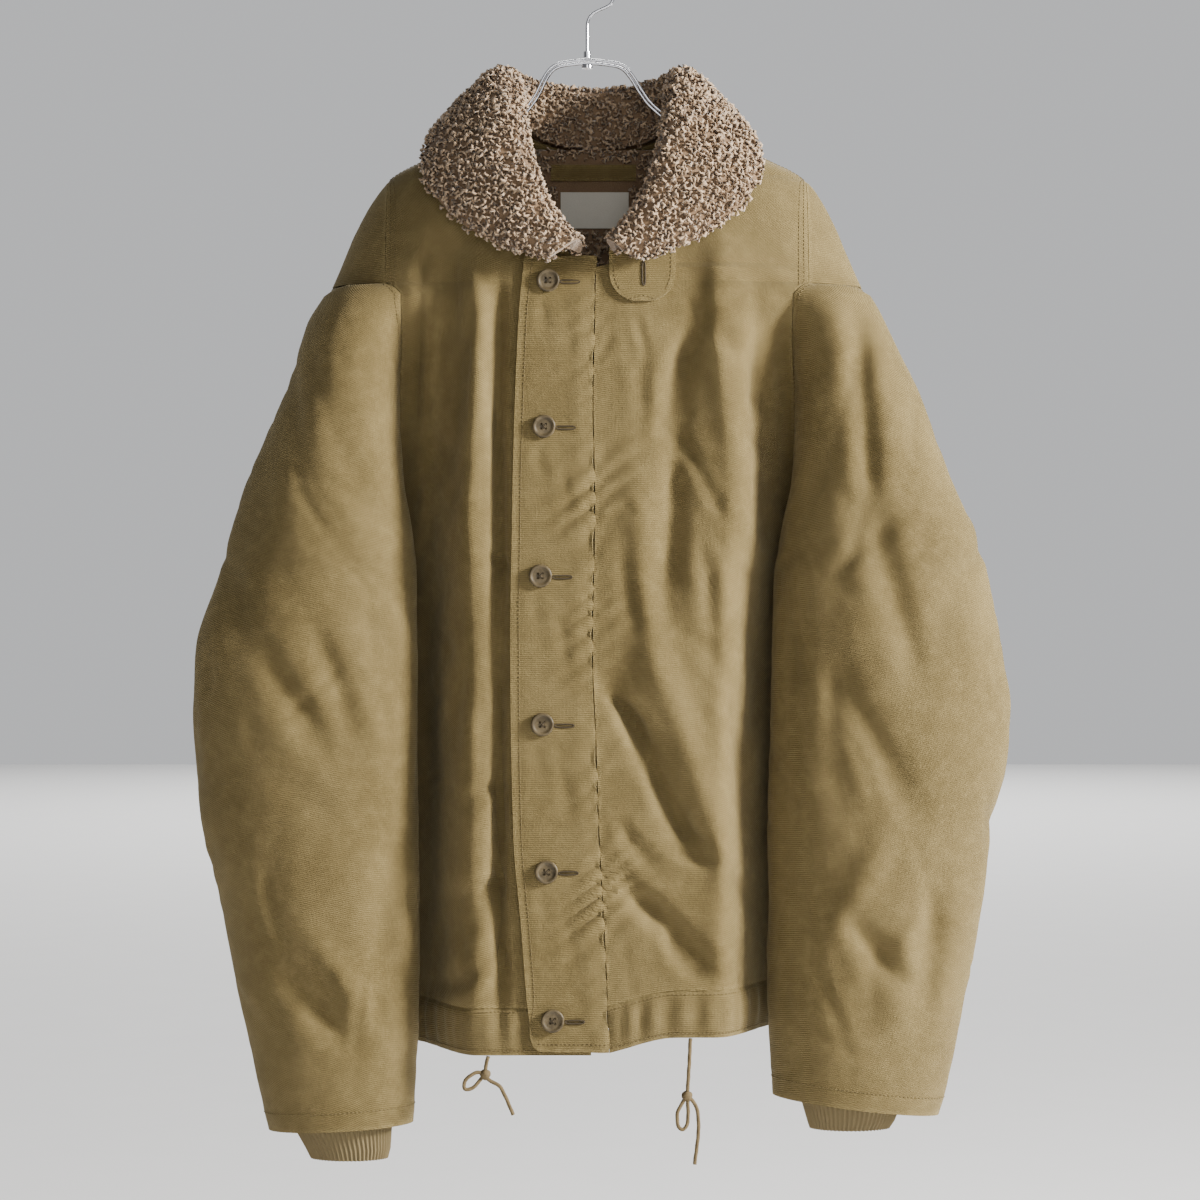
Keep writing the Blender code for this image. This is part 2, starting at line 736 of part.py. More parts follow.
def back_inside_y(o, z):
    """The inner face of the back near its middle."""
    level = z
    if z > BACK_LEVEL_Z:
        sagged = (z - BACK_LEVEL_Z) / (BACK_NECK_Z - BACK_LEVEL_Z)
        level = BACK_LEVEL_Z + sagged * (NECK_POINT_Z - BACK_LEVEL_Z)
    depth = BODY("back_depth", level)
    width = BACK_END("end_o", level) if level < ARMHOLE_FRONT_Z else BODY("half_width", level)
    end_y = BACK_END("end_y", level) if level < ARMHOLE_FRONT_Z else 0.0
    y = end_y + (depth - end_y) * math.sqrt(1 - min(1.0, abs(o) / width) ** 4)
    return y - CLOTH - LINING_GAP - fold_shift(BACK_FOLDS, GARMENT_MIDDLE_X + o, z)


def strip_rows(x_low, x_high, z_top, z_bottom, steps, columns, y_of):
    rows = []
    for z in np.linspace(z_top, z_bottom, steps):
        rows.append([(x, y_of(x, z), z) for x in np.linspace(x_low, x_high, columns)])
    return rows


def new_material(name, colour, roughness, metallic=0.0):
    material = bpy.data.materials.new(name)
    material.use_nodes = True
    shader = material.node_tree.nodes["Principled BSDF"]
    shader.inputs["Base Color"].default_value = (*colour, 1)
    shader.inputs["Roughness"].default_value = roughness
    shader.inputs["Metallic"].default_value = metallic
    return material


def add_mesh(name, points, faces, finish, smooth=True):
    """One node: the mesh in metres, with its own material."""
    mesh = bpy.data.meshes.new(name)
    mesh.from_pydata([tuple(point) for point in np.array(points) * MM], [], [tuple(map(int, f)) for f in faces])
    mesh.materials.append(new_material(name + "_finish", *finish))
    if smooth:
        mesh.shade_smooth()
        mesh.set_sharp_from_angle(angle=SHARP_ANGLE)
    obj = bpy.data.objects.new(name, mesh)
    bpy.context.scene.collection.objects.link(obj)
    return obj


def add_wall(name, patch, finish, thickness=CLOTH, outward=0.0):
    return add_mesh(name, *patch.wall(thickness, outward), finish)


def add_tube(name, route, diameter, finish, sides=2, cyclic=False):
    """A round wire or cord along a route, as a curve with a bevel and filled caps."""
    curve = bpy.data.curves.new(name, "CURVE")
    curve.dimensions = "3D"
    curve.bevel_depth = diameter / 2 * MM
    curve.bevel_resolution = sides
    curve.use_fill_caps = True
    spline = curve.splines.new("POLY")
    spline.points.add(len(route) - 1)
    for point, place_at in zip(spline.points, route):
        point.co = (*(np.array(place_at) * MM), 1)
    spline.use_cyclic_u = cyclic
    curve.materials.append(new_material(name + "_finish", *finish))
    obj = bpy.data.objects.new(name, curve)
    bpy.context.scene.collection.objects.link(obj)
    return obj


def smooth_route(points, spacing):
    """A smooth curve through the route's own points, read at even steps."""
    points = np.array(points, float)
    ends = np.concatenate([[2 * points[0] - points[1]], points, [2 * points[-1] - points[-2]]])
    path = []
    for i in range(1, len(ends) - 2):
        before, start, end, after = ends[i - 1 : i + 3]
        for t in np.linspace(0, 1, 12, endpoint=False):
            path.append(
                0.5
                * (
                    2 * start
                    + (end - before) * t
                    + (2 * before - 5 * start + 4 * end - after) * t**2
                    + (3 * start - before - 3 * end + after) * t**3
                )
            )
    path.append(points[-1])
    length = np.linalg.norm(np.diff(path, axis=0), axis=1).sum()
    return resample(path, max(3, round(length / spacing) + 1))


def turned(profile, steps, axis_at):
    """A closed shape turned round an axis along Y, from (radius, y) pairs that start and end on the axis."""
    points = []
    faces = []
    rings = []
    for radius, y in profile:
        if radius == 0:
            rings.append([len(points)])
            points.append((axis_at[0], axis_at[1] + y, axis_at[2]))
            continue
        ring = []
        for k in range(steps):
            angle = 2 * math.pi * k / steps
            ring.append(len(points))
            x = axis_at[0] + radius * math.cos(angle)
            z = axis_at[2] + radius * math.sin(angle)
            points.append((x, axis_at[1] + y, z))
        rings.append(ring)
    for low, high in zip(rings, rings[1:]):
        for k in range(steps):
            a = low[k % len(low)]
            b = low[(k + 1) % len(low)]
            c = high[(k + 1) % len(high)]
            d = high[k % len(high)]
            corners = [a, b, c, d]
            faces.append(tuple(dict.fromkeys(corners)))
    return points, faces


def swept(sections):
    """(points, faces) of a closed shape through rings of the same count, with flat ends."""
    count = len(sections[0])
    points = np.concatenate([np.array(section, float) for section in sections])
    faces = [tuple(range(count))[::-1]]
    for r in range(len(sections) - 1):
        for c in range(count):
            a = r * count + c
            b = r * count + (c + 1) % count
            faces.append((a, b, b + count, a + count))
    last = (len(sections) - 1) * count
    faces.append(tuple(range(last, last + count)))
    return points, faces


def collar_station(t):
    """The collar's neck edge, roll and fall edge at t, from the left front end (-1) over the back (0)."""
    side = WEARER_LEFT if t > 0 else WEARER_RIGHT
    key = abs(t)
    found = []
    for guide in ("neck", "roll", "fall"):
        o = COLLAR(guide + "_o", key)
        middle = GARMENT_MIDDLE_X if guide == "neck" else COLLAR_MIDDLE_X
        found.append((middle + side * o, COLLAR(guide + "_y", key), COLLAR(guide + "_z", key)))
    return np.array(found)


def collar_section(t):
    """A ring round the folded pile wall at t: out over its face and back along its underside."""
    neck, roll, fall = collar_station(t)
    spine = []
    for s in np.linspace(0, 1, COLLAR_STEPS):
        lift = math.sin(math.pi * s)
        base = neck + (fall - neck) * s
        spine.append(base + (roll - (neck + fall) / 2) * lift)
    spine = resample(spine, COLLAR_STEPS)
    along = collar_station(t + 0.01)[1] - collar_station(t - 0.01)[1]
    ring_face = []
    ring_under = []
    for k, point in enumerate(spine):
        run = spine[min(k + 1, len(spine) - 1)] - spine[max(k - 1, 0)]
        out = np.cross(along, run)
        out = out / np.linalg.norm(out)
        end = min(k, len(spine) - 1 - k)
        half = COLLAR_THICK / 2 * (0.55, 0.9, 1.0)[min(end, 2)]
        ring_face.append(point + out * half)
        ring_under.append(point - out * half)
    return ring_under + ring_face[::-1]


def cuff_rows(side):
    """The knit cuff: sewn round the inside of the sleeve, drawn in where it comes out below."""
    rows = []
    for z, middle_o, half_o, half_y in CUFF[side]:
        row = []
        top = z == CUFF[side][0][0]
        inner = SLEEVE(SIDE_NAMES[side] + "_inner", z)
        outer = SLEEVE(SIDE_NAMES[side] + "_outer", z)
        if top:
            middle_o = (inner + outer) / 2
            half_o = (outer - inner) / 2 - CLOTH - CUFF_CLEARANCE
            half_y = SLEEVE("half_depth", z) - CLOTH - CUFF_CLEARANCE
        for angle in np.linspace(0, 2 * math.pi, CUFF_COLUMNS + 1):
            o = middle_o - half_o * math.cos(angle)
            y = SLEEVE("middle_y", z) - half_y * math.sin(angle)
            row.append((GARMENT_MIDDLE_X + side * o, y, z))
        rows.append(row)
    return rows


def ridge_z(o):
    """The shoulder line's height at o."""
    rows = BODY.rows[:4]
    return float(np.interp(o, rows[:, 1], rows[:, 0]))


def hanger_route():
    """The double wire as one closed loop: out along the upper wire and back along the lower one."""
    upper = []
    for side in (WEARER_RIGHT, WEARER_LEFT):
        scale = 1 if side == WEARER_LEFT else HANGER_LEFT_SCALE
        lower = 0 if side == WEARER_LEFT else HANGER_LEFT_DROP
        half = [(side * x * scale, z - lower * smoothstep((x - 36) / 12)) for x, z in HANGER_YOKE]
        for o in np.linspace(HANGER_SHOULDER_O, HANGER_END_O, 5):
            half.append((GARMENT_MIDDLE_X + side * o, ridge_z(o) - CLOTH - HANGER_DROP))
        upper.append(half)
    line = upper[0][::-1] + upper[1][1:]
    line = smooth_route([(x, 0, z) for x, z in line], HANGER_SPACING)
    along = np.gradient(line, axis=0)
    along /= np.linalg.norm(along, axis=1, keepdims=True)
    across = np.stack([along[:, 2], np.zeros(len(line)), -along[:, 0]], axis=1)
    apart = (HANGER_WIRE + LAYER_GAP) / 2
    top = line - across * apart
    bottom = line + across * apart
    right_cap = line[-1] + along[-1] * 2.2
    left_cap = line[0] - along[0] * 2.2
    return list(top) + [right_cap] + list(bottom[::-1]) + [left_cap]


def hook_route():
    """The hook from the ferrule up the stem and over the rail, to its tip."""
    radius = HOOK_INSIDE + HOOK_WIRE / 2
    points = [(0, 0, HOOK_FOOT_Z), (0, 0, HOOK_FOOT_Z + 13), (0.5, 0, -50), (5, 0, -43.5)]
    for degrees in range(-40, 206, 15):
        angle = math.radians(degrees)
        points.append((radius * math.cos(angle), 0, -HOOK_INSIDE + radius * math.sin(angle)))
    return smooth_route(points, 6.0)


def cylinder_up(radius, z_low, z_high, steps=14):
    rings = []
    for z in (z_low, z_high):
        rings.append([
            (radius * math.cos(a), radius * math.sin(a), z)
            for a in np.linspace(0, 2 * math.pi, steps, endpoint=False)
        ])
    return swept(rings)


def add_hanger():
    add_tube("hanger_wire", hanger_route(), HANGER_WIRE, CHROME, cyclic=True)
    add_tube("hanger_hook", hook_route(), HOOK_WIRE, CHROME, sides=3)
    add_mesh("hanger_ferrule", *cylinder_up(3.0, HANGER_TOP_Z + 0.3, HOOK_FOOT_Z - 0.3), CHROME)
    add_mesh("hanger_rivet", *cylinder_up(4.6, HANGER_TOP_Z - 8.2, HANGER_TOP_Z - 5.7), CHROME)


def add_buttons():
    for number, (x, z) in enumerate(BUTTONS, 1):
        face = front_y(x, z) - CLOTH - 3 * LAYER_GAP - 0.25
        profile = [(0, 0), (8.6, 0), (9.2, -1.2), (9.0, -3.0), (7.6, -3.3), (5.8, -2.3), (0, -2.3)]
        points, faces = turned(profile, BUTTON_STEPS, (x, face, z))
        add_mesh(f"button_{number}", points, faces, BUTTON)


def add_cords():
    for side, cord in DRAWCORDS.items():
        name = SIDE_NAMES[side]
        y = front_y(cord["lead"][0][0], HEM_Z) + CLOTH / 2
        for stretch in ("lead", "loop", "tail"):
            route = [(x, y + back, z) for x, z, back in cord[stretch]]
            add_tube(f"drawcord_{stretch}_{name}", smooth_route(route, 7.0), CORD, CORD_FINISH)
        profile = [(0, 3.2), (3.0, 2.4), (4.2, 0), (3.0, -2.4), (0, -3.2)]
        x, z = cord["knot"]
        points, faces = turned(profile, 12, (x, y, z))
        add_mesh(f"drawcord_knot_{name}", points, faces, CORD_FINISH)


def add_collar():
    stations = np.linspace(-1, 1, COLLAR_STATIONS)
    points, faces = swept([collar_section(t) for t in stations])
    add_mesh("collar", points, faces, PILE)


def add_body():
    fronts = {}
    casings = {}
    for side in (WEARER_RIGHT, WEARER_LEFT):
        flip = side == WEARER_LEFT
        rows = [front_row(side, z, PANEL_COLUMNS) for z in BODY_LEVELS]
        fronts[side] = Patch(rows, flip=not flip)
        casing_levels = levels((CASING_SEAM_Z, 4), (HEM_Z, 0))
        rows = [casing_row(side, z) for z in casing_levels]
        casings[side] = Patch(rows, flip=not flip)
    back = Patch([back_row(z, BACK_COLUMNS) for z in BODY_LEVELS], flip=True)
    rows = [casing_row(None, z) for z in levels((CASING_SEAM_Z, 4), (HEM_Z, 0))]
    back_casing = Patch(rows, flip=True)
    sleeves = {}
    for side in (WEARER_RIGHT, WEARER_LEFT):
        heights = sleeve_levels(side)
        rows = [sleeve_row(side, z, SLEEVE_COLUMNS) for z in heights]
        closed_from = heights.index(UNDERARM_Z)
        sleeves[side] = Patch(rows, closed_from, flip=side == WEARER_RIGHT)
    sew([*fronts.values(), back, *sleeves.values(), *casings.values(), back_casing])
    for side, name in SIDE_NAMES.items():
        add_wall(f"front_{name}", fronts[side], CANVAS)
        add_wall(f"sleeve_{name}", sleeves[side], CANVAS)
        add_wall(f"hem_casing_{name}", casings[side], CANVAS)
        cuff = Patch(cuff_rows(side), 0, flip=side == WEARER_RIGHT)
        add_wall(f"knit_cuff_{name}", cuff, KNIT, CUFF_THICK)
    add_wall("back", back, CANVAS)
    add_wall("hem_casing_back", back_casing, CANVAS)


def add_trims():
    add_wall("wind_flap", Patch(flap_rows(), flip=False), CANVAS, outward=CLOTH + LAYER_GAP)
    add_wall("chin_tab", Patch(tab_rows(), flip=False), CANVAS, outward=CLOTH + LAYER_GAP)
    add_wall("back_lining", Patch(lining_rows(), flip=False), PILE, LINING_THICK, outward=LINING_THICK)
    strip = strip_rows(*LOOP_BOX, 3, 8, lambda x, z: back_inside_y(x - GARMENT_MIDDLE_X, z) - LINING_THICK)
    add_wall("hanger_loop", Patch(strip), CANVAS, LOOP_THICK, outward=LOOP_THICK + TRIM_GAP)
    label = strip_rows(*LABEL_BOX, 5, 8, lambda x, z: back_inside_y(x - GARMENT_MIDDLE_X, z) - LINING_THICK)
    add_wall("size_label", Patch(label), LABEL, LABEL_THICK, outward=LABEL_THICK + TRIM_GAP)


for old in list(bpy.data.objects):
    bpy.data.objects.remove(old, do_unlink=True)
add_body()
add_trims()
add_collar()
add_buttons()
add_cords()
add_hanger()
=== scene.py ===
"""Deck jacket with a pile collar on a chrome wire hanger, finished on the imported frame.

The cloth is made from the same sections as the solids, in millimetres, on a finer grid and with its creases.
"""

import math

import bpy
import numpy as np
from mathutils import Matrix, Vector, noise


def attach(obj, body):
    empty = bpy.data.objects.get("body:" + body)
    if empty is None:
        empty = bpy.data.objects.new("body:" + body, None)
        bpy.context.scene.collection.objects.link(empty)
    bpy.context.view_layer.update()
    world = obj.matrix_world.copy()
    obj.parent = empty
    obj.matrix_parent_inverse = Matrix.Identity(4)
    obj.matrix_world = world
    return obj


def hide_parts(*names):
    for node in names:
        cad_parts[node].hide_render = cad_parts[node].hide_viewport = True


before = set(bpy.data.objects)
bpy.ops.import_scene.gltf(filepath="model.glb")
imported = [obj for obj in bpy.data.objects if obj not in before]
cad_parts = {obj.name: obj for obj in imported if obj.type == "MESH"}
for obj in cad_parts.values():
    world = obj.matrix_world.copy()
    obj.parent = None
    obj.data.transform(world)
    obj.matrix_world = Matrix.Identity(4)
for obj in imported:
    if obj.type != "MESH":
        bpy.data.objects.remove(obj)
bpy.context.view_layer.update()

MM = 0.001
WEARER_RIGHT = -1
WEARER_LEFT = 1
SIDE_NAMES = {WEARER_RIGHT: "right", WEARER_LEFT: "left"}

# The garment hangs a little towards the wearer's left of the hook.
GARMENT_MIDDLE_X = 8.0

# Cloth and seams
CLOTH = 3.0
HALF_SEAM_GAP = 0.24
LAYER_GAP = 0.35
COLLAR_THICK = 11.0
LINING_THICK = 5.0
LINING_GAP = 1.1
TRIM_GAP = 1.0

# Heights that the panels share
NECK_POINT_Z = -131.0
PEAK_Z = -179.0
ARMHOLE_TOP_Z = -267.0
ARMHOLE_FRONT_Z = -276.0
ARMHOLE_OUTER_Z = -301.0
UNDERARM_Z = -500.0
CASING_SEAM_Z = -842.0
HEM_Z = -879.0
BACK_NECK_Z = -152.0
BACK_LEVEL_Z = -232.0
SHOULDER_SEAM_O = 169.0
FLAP_TOP_Z = -248.0
FLAP_BOTTOM_Z = -876.0
LEFT_HEM_RISE = 14.0
CASING_PROUD = 2.6
CASING_TUCK = 5.5
CASING_TUCK_GAP = 0.5
FLAP_CORNER = 12.0
FLAP_HIDES_X = -52.0

# How far round the back its columns stay even, and most of it as a share of a short row
BACK_EVEN_REACH = 230.0
BACK_EVEN_SHARE = 1.35

# Chin tab
TAB_MIDDLE_X = 44.0
TAB_HALF_WIDTH = 26.4
TAB_TOP_Z = -237.0
TAB_BOTTOM_Z = -283.5

# Collar, read from t = 0 at the middle back to t = 1 at its front ends
COLLAR_MIDDLE_X = 4.0
COLLAR_STEPS = 22
COLLAR_FINE_STATIONS = 170
COLLAR_END_STATIONS = 12
LINING_TOP_Z = -150.0
LINING_BOTTOM_Z = -292.0
SHARP_ANGLE = math.radians(50)

# Columns of the finished grids, and samples of a level before it is spaced evenly
PANEL_COLUMNS = 72
BACK_COLUMNS = 132
SLEEVE_COLUMNS = 116
FRONT_SAMPLES = 150
BACK_SAMPLES = 160
SLEEVE_SAMPLES = 260


def smooth_value(keys, values, key):
    """A monotone cubic through (keys, values), held level past both ends."""
    order = np.argsort(keys)
    keys = keys[order]
    values = values[order]
    step = np.diff(keys)
    rise = np.diff(values) / step
    slope = np.zeros(len(keys))
    same = rise[:-1] * rise[1:] > 0
    slope[1:-1][same] = 2 / (1 / rise[:-1][same] + 1 / rise[1:][same])
    slope[0] = rise[0]
    slope[-1] = rise[-1]
    key = np.clip(key, keys[0], keys[-1])
    i = np.clip(np.searchsorted(keys, key) - 1, 0, len(keys) - 2)
    t = (key - keys[i]) / step[i]
    start = (2 * t**3 - 3 * t**2 + 1) * values[i] + (t**3 - 2 * t**2 + t) * step[i] * slope[i]
    end = (3 * t**2 - 2 * t**3) * values[i + 1] + (t**3 - t**2) * step[i] * slope[i + 1]
    return start + end


class Table:
    """Rows of named columns. The first column is the key that the others are read by."""

    def __init__(self, names, *rows):
        self.names = names.split()
        self.rows = np.array(rows, float)

    def __call__(self, name, key):
        return smooth_value(self.rows[:, 0], self.rows[:, self.names.index(name)], key)


# The body's level sections, from the neck point to the hem
BODY = Table(
    "z half_width front_depth back_depth",
    (-131, 72, 30, 38),
    (-150, 111, 36, 42),
    (-165, 142, 42, 45),
    (-179, 168, 47, 48),
    (-196, 181, 52, 51),
    (-222, 195, 57, 55),
    (-251, 208, 61, 59),
    (-276, 219, 64, 61),
    (-301, 232, 66, 63),
    (-400, 232, 72, 68),
    (-560, 230, 76, 70),
    (-700, 234, 79, 70),
    (-880, 222, 80, 66),
)

# Where the front rolls back behind the sleeve, and where it ends: the armhole seam, then the side seam
FRONT_END = Table(
    "z roll_o roll_y end_o end_y",
    (-276, 156, -54, 156, -54),
    (-284, 156, -52.7, 156, -52.7),
    (-301, 156, -43, 156, -43),
    (-340, 158, -31, 158, -31),
    (-390, 161, -19, 161, -19),
    (-440, 163, -7, 167, -6),
    (-480, 162, 5, 178, 10),
    (-500, 160, 11, 194, 22),
    (-540, 158, 15, 222, 28),
    (-620, 156, 16, 234, 30),
    (-880, 156, 15, 222, 26),
)
FRONT_ROLL_WIDTH = 62.0
SECTION_BLEND_O = 30.0
SECTION_BLEND_Z = 90.0

# Where the back ends: round the shoulder cap, down the back of the armhole, then the side seam
BACK_END = Table(
    "z end_o end_y",
    (-276, 219, 1),
    (-285, 224.5, 8),
    (-301, 231, 18),
    (-325, 228, 32),
    (-355, 216, 43),
    (-400, 202, 48),
    (-440, 195, 45),
    (-480, 193, 34),
    (-500, 194, 22),
    (-540, 222, 28),
    (-620, 234, 30),
    (-880, 222, 26),
)

# The armhole seam's arc over the shoulder cap
ARC = Table(
    "z front_o outer_o",
    (-267, 169, 188),
    (-268.5, 165, 200),
    (-271, 161, 211),
    (-276, 156, 219),
)

# Neckline of the fronts under the collar
NECKLINE = Table(
    "z o",
    (-131, 66),
    (-150, 68),
    (-165, 66),
    (-200, 56),
    (-232, 37),
    (-250, 14),
)

# The sleeves as seen from the front, and their depth
SLEEVE = Table(
    "z right_inner left_inner right_outer left_outer middle_y half_depth",
    (-267, 160, 161, 213, 213, -16, 34),
    (-276, 156, 157, 219, 219, -18, 38),
    (-301, 155.5, 155, 232, 232, -21, 46),
    (-340, 153, 154, 245, 252, -25, 50),
    (-390, 150.5, 153, 267, 273, -29, 52),
    (-430, 149, 150, 284, 288, -31, 52),
    (-470, 147, 146, 296, 306, -33, 52),
    (-503, 146, 144, 304, 314, -34, 52),
    (-560, 144, 140.5, 322, 325, -36, 52),
    (-600, 143, 139, 324, 330, -36, 52),
    (-650, 142, 138, 320, 328, -37, 51),
    (-700, 142, 137, 316, 317, -37, 50),
    (-760, 142, 137, 302, 308, -38, 48),
    (-810, 142, 136, 292, 299, -38, 46),
    (-860, 143, 136.5, 281, 289, -39, 43),
    (-905, 145.5, 139, 270, 278, -40, 40),
    (-942, 147, 142, 262, 268, -40, 37),
)
SLEEVE_HEM_Z = {WEARER_RIGHT: -940.0, WEARER_LEFT: -923.0}
SLEEVE_HEM_TILT = {WEARER_RIGHT: 3.0, WEARER_LEFT: 8.0}
SLEEVE_SEAM_ANGLE = math.radians(-48)
SLEEVE_SEAM_DRIFT = 220.0

# The wind flap's edges, x over height
FLAP = Table(
    "z free_x sewn_x",
    (-248, -49.6, 7),
    (-291, -53.6, 6.4),
    (-362, -56.8, 5),
    (-444, -58.8, 6.4),
    (-560, -60, 4.5),
    (-624, -59.6, 7),
    (-710, -57.6, 10),
    (-774, -52, 13.5),
    (-828, -48, 16),
    (-876, -44.8, 17.6),
)

# The collar's neck edge, roll and fall edge from the middle back (0) to the front end (1)
COLLAR = Table(
    "t neck_o neck_y neck_z roll_o roll_y roll_z fall_o fall_y fall_z",
    (-0.02, -3, 31.5, -150, -3, 43, -105, -5, 62, -184),
    (0.16, 35, 29, -146, 42, 38, -101, 58, 57, -176),
    (0.30, 59, 14, -129, 72, 18, -93, 100, 38, -154),
    (0.40, 62, 0, -117.5, 77, -1, -96, 120, 8, -142),
    (0.50, 62, -14, -129, 75, -24, -110, 130, -18, -148),
    (0.62, 62, -36, -160, 68, -54, -146, 136, -42, -174),
    (0.76, 52, -52, -196, 56, -72, -188, 114, -65, -212),
    (0.89, 34, -61, -226, 38, -80, -220, 76, -76, -238),
    (1.0, 13, -71, -245, 17, -82, -240, 34, -80, -251),
)

# Half the lining's width, where it shows between the collar's edges
LINING = Table(
    "z half_width",
    (-156, 58),
    (-200, 66),
    (-292, 60),
)

# Knit cuffs: height, middle and half-width from the front, half-depth
CUFF = {
    WEARER_RIGHT: (
        # z, middle_o, half_o, half_y
        (-908, 0, 0, 0),
        (-922, 206, 50, 32),
        (-942, 203, 39, 26),
        (-958, 199, 34, 22),
        (-966, 198, 31, 20),
    ),
    WEARER_LEFT: (
        (-892, 0, 0, 0),
        (-906, 208, 52, 33),
        (-922, 204, 40, 27),
        (-936, 203, 35, 23),
        (-942, 202, 32, 21),
    ),
}
CUFF_THICK = 3.0
CUFF_CLEARANCE = 1.8
CUFF_COLUMNS = 360
CUFF_RIBS = 60

# Hoop of the hanger between the shoulders, outward from its middle
HANGER_YOKE = (
    # x, z
    (0, -82.8),
    (20, -84.6),
    (29, -87.5),
    (36, -95),
    (44, -107.8),
    (54, -120.0),
)
HANGER_LEFT_SCALE = 0.93
HANGER_LEFT_DROP = 3.0
HANGER_SHOULDER_O = 73.0
HANGER_WIRE = 2.4
HANGER_DROP = 6.2
HANGER_END_O = 156.0
HANGER_SPACING = 2.5
HANGER_TOP_Z = -80.1
HOOK_WIRE = 2.6
HOOK_INSIDE = 22.0
HOOK_FOOT_Z = -74.4
FERRULE_RADIUS = 3.0
FERRULE_GAP = 0.3
RIVET_RADIUS = 4.6
RIVET_DROP = (8.2, 5.7)
ROUND_STEPS = 40

# Buttons down the wind flap, and the woven label and hanger loop on the back lining
BUTTONS = (
    # x, z
    (-30.7, -267),
    (-33.9, -383),
    (-36.6, -501),
    (-35.0, -618),
    (-31.7, -734),
    (-26.8, -851),
)
BUTTON_PROFILE = (
    # radius, y from the button's back
    (0, 0),
    (8.4, 0),
    (9.1, -0.6),
    (9.25, -1.6),
    (9.1, -2.6),
    (8.5, -3.2),
    (7.7, -3.3),
    (6.9, -2.9),
    (6.2, -2.45),
    (5.2, -2.3),
    (0, -2.3),
)
BUTTON_HOLE_OUT = 1.75
BUTTON_HOLE_RADIUS = 0.95
BUTTONHOLE_HALF = 1.25
LOOP_BOX = (-30, 40, -162, -175)
LOOP_THICK = 1.5
LABEL_BOX = (-22, 34, -184, -213)
LABEL_THICK = 1.0

# The knot's outline: radius, y
KNOT_PROFILE = (
    (0, 3.2),
    (1.8, 3.0),
    (3.0, 2.4),
    (3.9, 1.2),
    (4.2, 0),
    (3.9, -1.2),
    (3.0, -2.4),
    (1.8, -3.0),
    (0, -3.2),
)

# Drawcords, each tied in a slip bow: routes in x, z and how far behind the cord's exit
CORD = 3.0
DRAWCORDS = {
    WEARER_RIGHT: {
        "knot": (-80, -894),
        "lead": ((-77.8, -879.6, 0), (-79.0, -885, 0), (-79.8, -889.2, 0)),
        "loop": (
            (-85.4, -892.4, 0), (-90, -893.6, -1), (-96, -899, -2),
            (-96, -905, -2), (-90, -904.5, -1), (-84.6, -899.0, 0),
        ),
        "tail": ((-76.8, -898.6, 0), (-69, -903, 0), (-64, -912, 1), (-58, -926, 1)),
    },
    WEARER_LEFT: {
        "knot": (79, -911),
        "lead": ((81.6, -865.5, 0), (81.0, -880, 0), (80.2, -894, 0), (79.4, -906.2, 0)),
        "loop": (
            (76.2, -915.0, 0), (71.5, -924, -1), (72, -934, -2),
            (76, -937, -2), (79.5, -931, -1), (79.6, -916.0, 0),
        ),
        "tail": ((82.8, -914.2, 0), (87, -922, 1), (88, -939, 1), (85, -965, 1)),
    },
}

# Largest folds: a trough has a positive depth and a ridge a negative one
FRONT_FOLDS = (
    # x_top, z_top, x_bottom, z_bottom, half_width, depth
    (-138, -190, -140, -330, 8, -4),
    (-116, -240, -128, -580, 15, 12),
    (-90, -250, -92, -520, 11, -6),
    (-68, -270, -66, -850, 9, 8),
    (-64, -735, -104, -785, 10, 7),
    (-120, -850, -70, -795, 12, -7),
    (-104, -600, -100, -770, 16, -6),
    (104, -230, 142, -500, 16, -7),
    (82, -300, 62, -530, 14, 7),
    (18, -585, 92, -725, 10, 9),
    (30, -745, 104, -830, 10, 9),
    (50, -550, 118, -750, 14, -7),
    (40, -420, 52, -600, 12, -4),
)
BACK_FOLDS = (
    (-120, -260, -96, -700, 16, 9),
    (-70, -420, -60, -850, 14, -6),
    (-24, -300, -36, -860, 15, 7),
    (36, -480, 24, -850, 13, -6),
    (66, -280, 84, -780, 15, 8),
    (128, -300, 112, -820, 14, -6),
    (150, -560, 60, -760, 13, 6),
)
SLEEVE_FOLDS = {
    WEARER_RIGHT: (
        # o_top, z_top, o_bottom, z_bottom, half_width, depth, front (-1) or back (1)
        (222, -545, 190, -630, 10, 6, -1),
        (262, -560, 215, -640, 11, 6, -1),
        (235, -330, 300, -520, 16, 5, -1),
        (240, -820, 195, -872, 11, 8, -1),
        (220, -790, 178, -850, 10, -6, -1),
        (160, -700, 178, -870, 12, 5, -1),
        (200, -420, 280, -600, 15, 7, 1),
        (180, -620, 270, -760, 13, 7, 1),
        (260, -780, 180, -880, 12, 7, 1),
    ),
    WEARER_LEFT: (
        (206, -280, 214, -440, 10, 7, -1),
        (214, -440, 252, -580, 12, 6, -1),
        (180, -560, 250, -690, 13, 5, -1),
        (198, -770, 246, -826, 11, 8, -1),
        (268, -740, 258, -850, 11, 6, -1),
        (230, -700, 180, -800, 12, -5, -1),
        (190, -400, 290, -620, 15, 7, 1),
        (270, -640, 190, -780, 13, 7, 1),
        (180, -800, 250, -862, 12, 7, 1),
    ),
}


def smoothstep(t):
    t = np.clip(t, 0.0, 1.0)
    return t * t * (3 - 2 * t)


